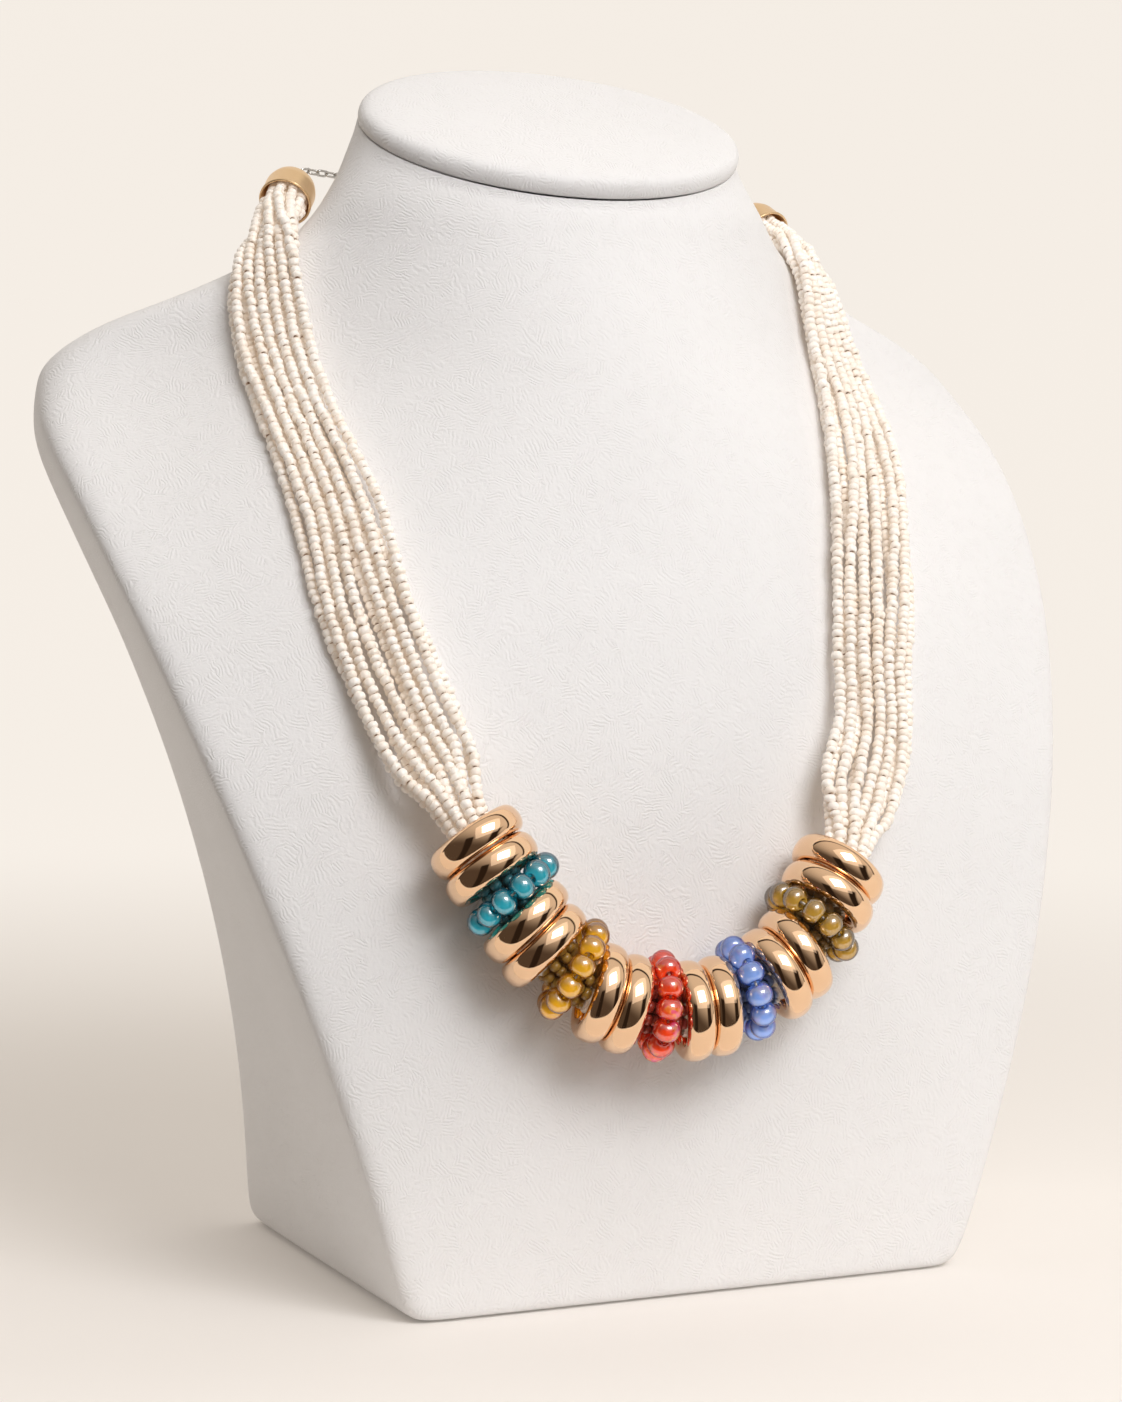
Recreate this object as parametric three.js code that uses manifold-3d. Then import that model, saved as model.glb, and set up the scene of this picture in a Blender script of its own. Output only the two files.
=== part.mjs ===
// Mala necklace on its plain neck bust, in millimetres.
// The front faces -Y, +X is the wearer's left, +Z is up, and the bust stands on z = 0.
import * as THREE from "three";
import Module from "manifold-3d";

// ---- bust: its flat back, the back of its neck, and the tilted oval pad that closes the neck ----
const BACK_Y = 56;
const NECK_BACK_Y = 54;
const PAD = { tilt: 30, y: 22.6, z: 257, halfWide: 47.3, halfDeep: 32 };
const FOOT_EDGE = { side: 6, front: 2.5 };
const BACK_EDGE = 4;

// Heights up the bust: half-width and y of the front fold, half-width at the back board,
// y of the front along the middle, how tightly the middle bulges, and how neck-like it is.
const BUST = [
  { z: 0, foldX: 67.5, foldY: -56, backX: 66, midY: -56, bell: 1, neck: 0, soft: 4 },
  { z: 25, foldX: 75, foldY: -57.8, backX: 66.8, midY: -60, bell: 1, neck: 0, soft: 4 },
  { z: 60, foldX: 86.5, foldY: -55.3, backX: 71, midY: -62, bell: 1, neck: 0, soft: 4 },
  { z: 100, foldX: 99.5, foldY: -44.7, backX: 80.5, midY: -58, bell: 1, neck: 0, soft: 4 },
  { z: 140, foldX: 112, foldY: -24.2, backX: 95, midY: -48, bell: 1.1, neck: 0, soft: 4.5 },
  { z: 170, foldX: 120, foldY: -0.3, backX: 109, midY: -37, bell: 1.4, neck: 0, soft: 6 },
  { z: 190, foldX: 123.5, foldY: 21, backX: 116.5, midY: -29, bell: 1.8, neck: 0, soft: 9 },
  { z: 202, foldX: 120.5, foldY: 33, backX: 116, midY: -23.5, bell: 2.1, neck: 0.05, soft: 11 },
  { z: 212, foldX: 108.5, foldY: 40, backX: 106.5, midY: -19, bell: 2.3, neck: 0.2, soft: 12 },
  { z: 222, foldX: 84, foldY: 44, backX: 83, midY: -14, bell: 2.2, neck: 0.5, soft: 12 },
  { z: 234, foldX: 62, foldY: 47, backX: 62, midY: -8.5, bell: 2, neck: 0.85, soft: 12 },
  { z: 245, foldX: 54, foldY: 47, backX: 54, midY: -5.5, bell: 1.5, neck: 1, soft: 12 },
  { z: 258, foldX: 48.4, foldY: 47, backX: 48.4, midY: -4, bell: 1, neck: 1, soft: 12 },
  { z: 295, foldX: 46, foldY: 47, backX: 46, midY: -4, bell: 1, neck: 1, soft: 12 },
];

const clamp = (v, lo, hi) => Math.max(lo, Math.min(hi, v));
const lerp = (a, b, t) => a + (b - a) * t;
const smooth = (t) => t * t * (3 - 2 * t);

/** A smooth curve through a table's rows that never overshoots between them. */
function curve(rows, key, along = "z") {
  const slopes = [];
  for (let i = 0; i + 1 < rows.length; i++) {
    slopes.push((rows[i + 1][key] - rows[i][key]) / (rows[i + 1][along] - rows[i][along]));
  }
  const tangent = (i) => {
    if (i === 0) return slopes[0];
    if (i === rows.length - 1) return slopes[i - 1];
    const [a, b] = [slopes[i - 1], slopes[i]];
    return a * b <= 0 ? 0 : (2 * a * b) / (a + b);
  };
  return (v) => {
    const at = clamp(v, rows[0][along], rows[rows.length - 1][along]);
    let i = 0;
    while (i + 2 < rows.length && at > rows[i + 1][along]) i++;
    const h = rows[i + 1][along] - rows[i][along];
    const t = (at - rows[i][along]) / h;
    const [p, q] = [rows[i][key], rows[i + 1][key]];
    const [m, n] = [tangent(i) * h, tangent(i + 1) * h];
    const t2 = t * t;
    const t3 = t2 * t;
    return p * (2 * t3 - 3 * t2 + 1) + m * (t3 - 2 * t2 + t) + q * (3 * t2 - 2 * t3) + n * (t3 - t2);
  };
}

const bust = Object.fromEntries(
  ["foldX", "foldY", "backX", "midY", "bell", "neck", "soft"].map((key) => [key, curve(BUST, key)]),
);

/** How far the foot's rounded lower edge draws in at height z, for an edge radius r. */
const footInset = (z, r) => (z >= r ? 0 : (r - Math.sqrt(r * r - (r - z) ** 2)) * 0.8);

// points along half of the front, and the degrees of the round neck that they reach
const FRONT_STEPS = 11;
const FRONT_TURN = 78;

/** Half of the bust's outline at height z, from the middle front round to the middle back. */
function halfSection(z) {
  const foldX = bust.foldX(z) - footInset(z, FOOT_EDGE.side);
  const backX = bust.backX(z) - footInset(z, FOOT_EDGE.side);
  const foldY = bust.foldY(z) + footInset(z, FOOT_EDGE.front);
  const backY = BACK_Y - footInset(z, FOOT_EDGE.front);
  const midY = bust.midY(z) + footInset(z, FOOT_EDGE.front);
  const neck = bust.neck(z);
  const bell = bust.bell(z);
  const front = (t) => [foldX * t, foldY + (midY - foldY) * (1 - t * t) ** bell];
  const body = [];
  const soft = Math.min(bust.soft(z), 0.5 * (backY - foldY));
  const r = Math.min(BACK_EDGE, soft);
  const corner = (p, c, q, steps) => {
    for (let k = 0; k <= steps; k++) {
      const t = k / steps;
      const w = [(1 - t) ** 2, 2 * t * (1 - t), t * t];
      body.push([w[0] * p[0] + w[1] * c[0] + w[2] * q[0], w[0] * p[1] + w[1] * c[1] + w[2] * q[1]]);
    }
  };
  const away = (from, to, d) => {
    const l = Math.hypot(to[0] - from[0], to[1] - from[1]);
    return [lerp(from[0], to[0], d / l), lerp(from[1], to[1], d / l)];
  };
  const fold = [foldX, foldY];
  const rear = [backX, backY];
  const tEnd = 1 - (1.3 * soft) / foldX;
  for (let k = 0; k < FRONT_STEPS; k++) body.push(front((tEnd * k) / FRONT_STEPS));
  corner(front(tEnd), fold, away(fold, rear, soft), 3);
  const [sideA, sideB] = [away(fold, rear, soft), away(rear, fold, r)];
  body.push([lerp(sideA[0], sideB[0], 0.5), lerp(sideA[1], sideB[1], 0.5)]);
  corner(sideB, rear, [backX - r, backY], 2);
  for (let k = 1; k <= 4; k++) body.push([(backX - r) * (1 - k / 4), backY]);
  // the same number of points round an ellipse for the neck
  const cy = (NECK_BACK_Y + midY) / 2;
  const b = (NECK_BACK_Y - midY) / 2;
  const a = Math.max(foldX, backX);
  return body.map(([x, y], k) => {
    const last = body.length - 1;
    const rest = (k - FRONT_STEPS) / (last - FRONT_STEPS);
    const turn = k <= FRONT_STEPS ? (k / FRONT_STEPS) * FRONT_TURN : lerp(FRONT_TURN, 180, rest);
    const phi = (turn * Math.PI) / 180;
    return [lerp(x, a * Math.sin(phi), neck), lerp(y, cy - b * Math.cos(phi), neck)];
  });
}

/** The whole closed outline at height z, anticlockwise seen from above. */
function section(z) {
  const half = halfSection(z);
  const mirrored = half.slice(1, -1).reverse().map(([x, y]) => [-x, y]);
  return [...half, ...mirrored];
}

/** A closed skin over rings of points, with a flat fan over each end. */
function loft(rings) {
  const n = rings[0].length;
  const points = rings.flat();
  const centre = (ring) => ring.reduce((s, p) => s.map((v, k) => v + p[k] / n), [0, 0, 0]);
  const faces = [];
  for (let k = 0; k + 1 < rings.length; k++) {
    for (let i = 0; i < n; i++) {
      const j = (i + 1) % n;
      const [a, b, c, d] = [k * n + i, k * n + j, (k + 1) * n + j, (k + 1) * n + i];
      faces.push(a, b, c, a, c, d);
    }
  }
  const foot = points.push(centre(rings[0])) - 1;
  const head = points.push(centre(rings[rings.length - 1])) - 1;
  const top = (rings.length - 1) * n;
  for (let i = 0; i < n; i++) {
    const j = (i + 1) % n;
    faces.push(foot, j, i, head, top + i, top + j);
  }
  const geometry = new THREE.BufferGeometry();
  geometry.setAttribute("position", new THREE.Float32BufferAttribute(points.flat(), 3));
  geometry.setIndex(faces);
  return geometry;
}

const wasm = await Module();
wasm.setup();

function toSolid(geometry) {
  return new wasm.Manifold(
    new wasm.Mesh({
      numProp: 3,
      vertProperties: new Float32Array(geometry.attributes.position.array),
      triVerts: new Uint32Array(geometry.index.array),
    }),
  );
}

function toGeometry(solid) {
  const mesh = solid.getMesh();
  const geometry = new THREE.BufferGeometry();
  geometry.setAttribute("position", new THREE.Float32BufferAttribute(mesh.vertProperties, 3));
  geometry.setIndex(Array.from(mesh.triVerts));
  return geometry;
}

/** The tilted frame of the neck's cut top: the neck ends here and the pad sits on it. */
const capFrame = new THREE.Matrix4()
  .makeTranslation(0, PAD.y, PAD.z)
  .multiply(new THREE.Matrix4().makeRotationX((PAD.tilt * Math.PI) / 180));

/** The heights of the bust's sections, closest where it turns from shoulder to neck. */
const HEIGHTS = [
  0, 0.8, 2.4, 6, 22, 42, 60, 78, 96, 114, 130, 144, 156, 168, 178, 186, 192, 198, 203, 207, 211,
  215, 219, 223, 228, 234, 241, 249, 260, 295,
];

/** The bust: sections lofted up past the neck's top, then cut off along the tilted plane. */
function bustBody() {
  const rings = HEIGHTS.map((z) => section(z).map(([x, y]) => [x, y, z]));
  const above = new THREE.BoxGeometry(400, 400, 200).translate(0, 0, 100).applyMatrix4(capFrame);
  above.deleteAttribute("normal");
  above.deleteAttribute("uv");
  const merged = mergePoints(above);
  return toGeometry(toSolid(loft(rings)).subtract(toSolid(merged)));
}

/** Joins points that share a place, so that a solid made of them is closed. */
function mergePoints(geometry) {
  const seen = new Map();
  const points = [];
  const position = geometry.attributes.position;
  const index = geometry.index ? Array.from(geometry.index.array) : [...Array(position.count).keys()];
  const ids = index.map((i) => {
    const p = [position.getX(i), position.getY(i), position.getZ(i)];
    const key = p.map((v) => Math.round(v * 1e4)).join();
    if (!seen.has(key)) {
      seen.set(key, points.length / 3);
      points.push(...p);
    }
    return seen.get(key);
  });
  const faces = [];
  for (let i = 0; i < ids.length; i += 3) {
    const [a, b, c] = ids.slice(i, i + 3);
    if (a !== b && b !== c && c !== a) faces.push(a, b, c);
  }
  const merged = new THREE.BufferGeometry();
  merged.setAttribute("position", new THREE.Float32BufferAttribute(points, 3));
  merged.setIndex(faces);
  return merged;
}

/** The padded cap's edge: part of its half-width, and height over the neck's cut. */
const PAD_PROFILE = [
  { part: 0, up: 0.4 },
  { part: 0.94, up: 0.4 },
  { part: 0.985, up: 1.6 },
  { part: 1, up: 3.4 },
  { part: 0.99, up: 5.2 },
  { part: 0.955, up: 6.8 },
  { part: 0.9, up: 7.7 },
  { part: 0.7, up: 8.5 },
  { part: 0.4, up: 8.9 },
  { part: 0, up: 9 },
];

function padGeometry() {
  const profile = PAD_PROFILE.map(({ part, up }) => new THREE.Vector2(part * PAD.halfWide, up));
  const lathe = new THREE.LatheGeometry(profile, 40);
  lathe.rotateX(Math.PI / 2);
  lathe.scale(1, PAD.halfDeep / PAD.halfWide, 1);
  lathe.applyMatrix4(capFrame);
  return mergePoints(lathe);
}

// ---- necklace ----
// twelve strands of seed beads, and how far apart their points are along them
const STRANDS = 12;
const BEAD_R = 1.15;
const STRAND_GAP = 0.61;
const STEP = 2.6;
// the two kinds of ring: radius to the middle of the section, the section's half-sizes, and how
// far the ring sits towards the inside of the bend
const GOLD = { at: 8.6, radial: 2.1, axial: 3, inward: 0 };
const GLASS = { at: 9.6, radial: 2.45, axial: 2.6, inward: 1.1, along: 2.8, waist: 1.68, beads: 12 };
const RING_GAP = 0.3;
const RING_PITCH = 4.5;
// the rings lean on their strands: a turn about the vertical, in degrees, and how much of the
// strands' rise their axes keep
const RING_TURN = 10;
const RING_RISE = 0.75;
// two gold rings side by side share the lean of the strands this far towards each other
const PAIR_REACH = 3;
// bell-shaped end caps, and how deep the strands reach into them
const CAP = { r: 6.1, wall: 0.5, length: 10.5, deep: 3.5 };
// the fine chain behind the neck: its run straight out of a cap, and where it rounds the neck
const CHAIN = { r: 1.1, gap: 0.3, straight: 3.5, sideX: 46, sideY: 46 };
const CLASP = { r: 2.3, half: 6.5, z: 246, end: 1.6 };

// The middle of the bundle, from the end cap on the wearer's right down the chest, through the
// rings and up to the other cap. lift is how far it keeps from the bust, spread how far the
// strands fan out, and drift how far the upper layer has wandered across the lower one.
const SPINE = [
  { x: -58.5, y: 33, z: 239.5, lift: 7.3, spread: 0, drift: 0 },
  { x: -69.8, y: 23, z: 231, lift: 4.6, spread: 6.5, drift: 0 },
  { x: -73.8, y: 13, z: 213, lift: 3.4, spread: 8, drift: 1 },
  { x: -73.2, y: -3, z: 193, lift: 3, spread: 6.8, drift: 1 },
  { x: -70.6, y: -22, z: 172, lift: 3, spread: 7.8, drift: 0.5 },
  { x: -68.2, y: -36.5, z: 151, lift: 3, spread: 9.4, drift: -1.5 },
  { x: -63, y: -47, z: 130, lift: 4.4, spread: 9.8, drift: -2 },
  { x: -60.6, y: -55, z: 117.5, lift: 8, spread: 9.5, drift: 0 },
  { x: -58.4, y: -60, z: 110, lift: 10.8, spread: 2.6, drift: 0 },
  { x: -55.6, y: -65, z: 102.4, lift: 12, spread: 0, drift: 0 },
  { x: -48.4, y: -68, z: 89.2, lift: 12.2, spread: 0, drift: 0 },
  { x: -37, y: -71, z: 74.8, lift: 12.2, spread: 0, drift: 0 },
  { x: -23, y: -72, z: 67.4, lift: 12.2, spread: 0, drift: 0 },
  { x: -7, y: -72, z: 66, lift: 12.2, spread: 0, drift: 0 },
  { x: 6.5, y: -72, z: 70.4, lift: 12.2, spread: 0, drift: 0 },
  { x: 17.6, y: -71, z: 79, lift: 12.2, spread: 0, drift: 0 },
  { x: 26.2, y: -69, z: 92.4, lift: 12, spread: 0, drift: 0 },
  { x: 31.4, y: -64, z: 100.4, lift: 10.8, spread: 4.4, drift: 0 },
  { x: 36.4, y: -57, z: 109, lift: 7.8, spread: 11, drift: 0 },
  { x: 45.6, y: -52, z: 121.5, lift: 4.2, spread: 10.4, drift: 1 },
  { x: 49.2, y: -46.5, z: 137, lift: 3, spread: 9.8, drift: 2 },
  { x: 52.8, y: -39.5, z: 153, lift: 3, spread: 11, drift: 0.5 },
  { x: 57.2, y: -29, z: 170, lift: 3, spread: 10.4, drift: -1 },
  { x: 62.6, y: -12, z: 190, lift: 3, spread: 10.4, drift: -2 },
  { x: 68.6, y: 4, z: 206, lift: 3, spread: 11.4, drift: 0 },
  { x: 67.6, y: 13, z: 216.8, lift: 3.4, spread: 10.5, drift: 1.5 },
  { x: 63.2, y: 21, z: 223, lift: 4.4, spread: 7.5, drift: 1 },
  { x: 59.8, y: 32, z: 228, lift: 7.3, spread: 0, drift: 0 },
];

const V = (x, y, z) => new THREE.Vector3(x, y, z);

/** Signed distance and outward direction from a closed flat outline. */
function outlineGap(outline, x, y) {
  let best = Infinity;
  let away = [0, 0];
  let inside = false;
  for (let i = 0; i < outline.length; i++) {
    const [ax, ay] = outline[i];
    const [bx, by] = outline[(i + 1) % outline.length];
    const [dx, dy] = [bx - ax, by - ay];
    const t = clamp(((x - ax) * dx + (y - ay) * dy) / (dx * dx + dy * dy || 1), 0, 1);
    const [ex, ey] = [x - ax - t * dx, y - ay - t * dy];
    const gap = Math.hypot(ex, ey);
    if (gap < best) [best, away] = [gap, [ex, ey]];
    if (ay > y !== by > y && x < ax + ((y - ay) / (by - ay)) * dx) inside = !inside;
  }
  const sign = inside ? -1 : 1;
  const l = best || 1;
  return { gap: sign * best, nx: (sign * away[0]) / l, ny: (sign * away[1]) / l };
}

const SLICE = 2;
const slices = Array.from({ length: 149 }, (_, k) => section(k * SLICE));

/** How far a point stands off the bust's skin, and the direction straight off it. */
function offBust(p) {
  const k = clamp(Math.floor(p.z / SLICE), 0, slices.length - 2);
  const low = outlineGap(slices[k], p.x, p.y);
  const high = outlineGap(slices[k + 1], p.x, p.y);
  const t = p.z / SLICE - k;
  const slope = (high.gap - low.gap) / SLICE;
  const l = Math.hypot(1, slope);
  const n = V(lerp(low.nx, high.nx, t), lerp(low.ny, high.ny, t), slope).normalize();
  return { gap: lerp(low.gap, high.gap, t) / l, n };
}

/** Moves a point straight off or onto the bust until it stands the given distance away. */
function standOff(p, distance) {
  const q = p.clone();
  for (let k = 0; k < 8; k++) {
    const { gap, n } = offBust(q);
    q.addScaledVector(n, distance - gap);
  }
  return q;
}

/** The rows of the table between which the rings hang. */
const RING_ROWS = [9, 16];

const spineCurve = new THREE.CatmullRomCurve3(
  SPINE.map((row) => standOff(V(row.x, row.y, row.z), row.lift)),
  false,
  "centripetal",
);
const spineLength = spineCurve.getLength();
const COUNT = Math.round(spineLength / STEP);
const bundle = Object.fromEntries(
  ["spread", "drift"].map((key) => [key, curve(SPINE.map((row, k) => ({ k, v: row[key] })), "v", "k")]),
);

/** Arc length along the bundle of each row of its table. */
const rowAt = (() => {
  spineCurve.arcLengthDivisions = 2000;
  spineCurve.updateArcLengths();
  const lengths = spineCurve.getLengths(2000);
  return (row) => lengths[Math.round((row / (SPINE.length - 1)) * 2000)];
})();
const rowOf = curve(SPINE.map((_, k) => ({ s: rowAt(k), k })), "k", "s");

/** The bundle's own frame at arc length s: where it is, along it, across it and off the bust. */
function frameAt(s) {
  const u = clamp(s / spineLength, 0, 1);
  const at = spineCurve.getPointAt(u);
  const along = spineCurve.getTangentAt(u);
  const off = offBust(at).n;
  off.addScaledVector(along, -off.dot(along)).normalize();
  const across = new THREE.Vector3().crossVectors(off, along);
  return { at, along, off, across };
}

// ---- rings along the bundle ----
const GOLD_COLOUR = { color: 0xe8b98a, roughness: 0.12, metalness: 1 };
const SATIN_GOLD = { color: 0xdcb27c, roughness: 0.35, metalness: 1 };
const STEEL = { color: 0xc9c5bf, roughness: 0.25, metalness: 1 };
const IVORY = { color: 0xf0e6da, roughness: 0.35, metalness: 0 };
const LEATHER = { color: 0xe9e4df, roughness: 0.7, metalness: 0 };
const glass = (color) => ({ color, roughness: 0.08, metalness: 0 });
const STACK = [
  "gold", "gold", "teal", "gold", "gold", "amber", "gold", "gold", "red",
  "gold", "gold", "blue", "gold", "gold", "olive", "gold", "gold",
];
const GLASS_COLOUR = { teal: 0x1c8a94, amber: 0xb98a1e, red: 0xe0342c, blue: 0x6f95d6, olive: 0x7d6a2a };

/** The frame of a ring at arc length s, leaning a little on the strands that it hangs on. */
function ringFrame(s, { kind, pair }) {
  const { at, off } = frameAt(s);
  const { along } = frameAt(s + pair * PAIR_REACH);
  along.applyAxisAngle(V(0, 0, 1), (-RING_TURN * Math.PI) / 180);
  along.z *= RING_RISE;
  along.normalize();
  off.addScaledVector(along, -off.dot(along)).normalize();
  const across = new THREE.Vector3().crossVectors(off, along);
  return { at: at.addScaledVector(across, kind.inward), along, off, across };
}

/** How near two rings at arc lengths a and b come, measured round their middle circles. */
function nearest(a, b, ringA, ringB) {
  const [fa, fb] = [ringFrame(a, ringA), ringFrame(b, ringB)];
  let least = Infinity;
  for (let k = 0; k < 24; k++) {
    const turn = (k / 24) * 2 * Math.PI;
    const rim = (f, { kind }) =>
      f.at
        .clone()
        .addScaledVector(f.across, Math.cos(turn) * kind.at)
        .addScaledVector(f.off, Math.sin(turn) * kind.at);
    least = Math.min(least, rim(fa, ringA).distanceTo(rim(fb, ringB)));
  }
  return least - ringA.kind.axial - ringB.kind.axial;
}

/** The rings in order: the kind of each, and on which side of it a pair's other ring is. */
const RINGS = STACK.map((name, i) => ({
  kind: name === "gold" ? GOLD : GLASS,
  pair: name !== "gold" ? 0 : STACK[i + 1] === "gold" ? 1 : -1,
}));

const ringPlaces = (() => {
  const middle = (rowAt(RING_ROWS[0]) + rowAt(RING_ROWS[1])) / 2;
  const walk = (from, rings, sign) => {
    const places = [];
    let s = from;
    for (let i = 1; i < rings.length; i++) {
      let next = s + sign * RING_PITCH;
      while (nearest(s, next, rings[i - 1], rings[i]) < RING_GAP) next += sign * 0.02;
      places.push(next);
      s = next;
    }
    return places;
  };
  const mid = (RINGS.length - 1) / 2;
  const up = walk(middle, RINGS.slice(mid), 1);
  const down = walk(middle, RINGS.slice(0, mid + 1).reverse(), -1).reverse();
  return [...down, middle, ...up];
})();

/** Turns a ring made round the Y axis to lie across the bundle in its place in the row. */
function placed(geometry, i) {
  const f = ringFrame(ringPlaces[i], RINGS[i]);
  const m = new THREE.Matrix4().makeBasis(f.across, f.along.clone().negate(), f.off);
  m.setPosition(f.at);
  return geometry.applyMatrix4(m);
}

function goldRing(i) {
  const profile = [];
  for (let k = 0; k <= 8; k++) {
    const turn = ((k % 8) / 8) * 2 * Math.PI;
    profile.push(new THREE.Vector2(GOLD.at + GOLD.radial * Math.cos(turn), GOLD.axial * Math.sin(turn)));
  }
  return mergePoints(placed(new THREE.LatheGeometry(profile, 16), i));
}

/** A ring of rondelles on a thread: each one's tips meet those of the next. */
function beadRing(i) {
  const { along, waist } = GLASS;
  const side = [
    new THREE.Vector2(0, -along),
    new THREE.Vector2(0.74, -waist),
    new THREE.Vector2(1, 0),
    new THREE.Vector2(0.74, waist),
    new THREE.Vector2(0, along),
  ];
  const beads = [];
  for (let k = 0; k < GLASS.beads; k++) {
    const bead = new THREE.LatheGeometry(side, 6);
    bead.scale(GLASS.radial, 1, GLASS.axial);
    bead.rotateX(Math.PI / 2);
    bead.translate(GLASS.at, 0, 0);
    bead.rotateY((k / GLASS.beads) * 2 * Math.PI);
    beads.push(toSolid(mergePoints(bead)));
  }
  const ring = beads.reduce((solid, bead) => solid.add(bead));
  return mergePoints(placed(toGeometry(ring), i));
}

// ---- strands ----
/** Where each strand lies in the round cluster that passes through a ring or an end cap. */
const CLUSTER = (() => {
  const slots = [];
  const around = (count, r, from) => {
    for (let k = 0; k < count; k++) {
      const turn = ((from + (360 * k) / count) * Math.PI) / 180;
      slots.push([r * Math.cos(turn), r * Math.sin(turn)]);
    }
  };
  around(STRANDS - 3, 4.1, 0);
  around(3, 1.56, 20);
  const across = (p, q) => p[0] - q[0];
  const low = slots.filter(([, v]) => v < 0.1).sort(across);
  const high = slots.filter(([, v]) => v >= 0.1).sort(across);
  return Array.from({ length: STRANDS }, (_, i) => (i % 2 ? high : low)[Math.floor(i / 2)]);
})();

const ringStart = ringPlaces[0] - RING_PITCH;
const ringEnd = ringPlaces[ringPlaces.length - 1] + RING_PITCH;
// rows of the table at which the strands cross the ridge of a shoulder, and the length in a cap
const RIDGE_ROWS = [2.3, 24.7];
const HELD_BY_CAP = 3;
// the lower and the upper layer of strands, off the middle of the bundle
const LAYERS = [-1.2, 1.3];

/** Each strand's points before it settles, with the place that each one tends towards. */
function strandPoints() {
  const strands = [];
  const total = spineLength + 2 * CAP.deep;
  for (let i = 0; i < STRANDS; i++) {
    const points = [];
    for (let k = 0; k <= COUNT; k++) {
      const s = (k / COUNT) * total - CAP.deep;
      const f = frameAt(s);
      const beyond = s < 0 ? s : Math.max(0, s - spineLength);
      const inRing = s > ringStart && s < ringEnd;
      const held = s < HELD_BY_CAP || s > spineLength - HELD_BY_CAP || inRing;
      const row = rowOf(clamp(s, 0, spineLength));
      const spread = bundle.spread(row);
      const fan = smooth(clamp(spread / 8, 0, 1));
      const tight = inRing ? 1 : 0.93;
      const [cx, cy] = CLUSTER[i].map((c) => c * tight);
      const layer = i % 2;
      const wide = (i / (STRANDS - 1) - 0.5) * 2 * spread + layer * bundle.drift(row);
      const sway = fan * Math.sin(1.9 * i + s * 0.045 * (1 + 0.2 * (i % 3)));
      const u = lerp(cx, wide + sway, fan);
      const v = lerp(cy, LAYERS[layer], fan);
      const at = f.at.clone().addScaledVector(f.across, u).addScaledVector(f.off, v);
      at.addScaledVector(f.along, beyond);
      const overRidge = row < RIDGE_ROWS[0] || row > RIDGE_ROWS[1];
      points.push({ at, held, want: at.clone(), rest: BEAD_R + (overRidge ? 0.9 : 0.4) });
    }
    strands.push(points);
  }
  return strands;
}

const SETTLE = { rounds: 170, drawn: 150, passes: 4, pull: 0.35, ease: 0.1, hold: 0.04, weight: 0.06 };

/** Lets the strands settle: pulled straight, drawn onto the bust, kept clear of each other. */
function settle(strands) {
  const clear = 2 * BEAD_R + STRAND_GAP;
  for (let round = 0; round < SETTLE.rounds; round++) {
    const drawn = round < SETTLE.drawn;
    for (const points of strands) {
      for (let k = 1; k + 1 < points.length; k++) {
        const p = points[k];
        if (p.held) continue;
        const mid = points[k - 1].at.clone().add(points[k + 1].at).multiplyScalar(0.5);
        p.at.lerp(mid, drawn ? SETTLE.pull : SETTLE.ease).lerp(p.want, SETTLE.hold);
        if (drawn) p.at.addScaledVector(offBust(p.at).n, -SETTLE.weight);
      }
    }
    for (let pass = 0; pass < SETTLE.passes; pass++) {
      for (let i = 0; i < strands.length; i++) {
        for (let j = i + 1; j < strands.length; j++) keepClear(strands[i], strands[j], clear);
      }
    }
    for (const points of strands) {
      for (const p of points) {
        if (p.held) continue;
        const { gap, n } = offBust(p.at);
        if (gap < p.rest) p.at.addScaledVector(n, p.rest - gap);
      }
    }
  }
}

/** Moves near points of two strands apart until they are the given distance from each other. */
function keepClear(a, b, clear) {
  for (let k = 0; k < a.length; k++) {
    for (let m = Math.max(0, k - 2); m <= Math.min(b.length - 1, k + 2); m++) {
      const away = a[k].at.clone().sub(b[m].at);
      const gap = away.length();
      if (gap >= clear || (a[k].held && b[m].held)) continue;
      away.multiplyScalar((clear - gap) / (gap || 1));
      const share = a[k].held ? 0 : b[m].held ? 1 : 0.5;
      a[k].at.addScaledVector(away, share);
      b[m].at.addScaledVector(away, share - 1);
    }
  }
}

/** A round bar of the given radius swept along a smooth curve through the points. */
function cord(points, radius, steps, sides = 8) {
  const shape = new THREE.Shape();
  for (let k = 0; k < sides; k++) {
    const turn = (k / sides) * 2 * Math.PI;
    const [x, y] = [radius * Math.cos(turn), radius * Math.sin(turn)];
    if (k === 0) shape.moveTo(x, y);
    else shape.lineTo(x, y);
  }
  const path = new THREE.CatmullRomCurve3(points, false, "centripetal");
  return mergePoints(new THREE.ExtrudeGeometry(shape, { steps, extrudePath: path, bevelEnabled: false }));
}

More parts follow.
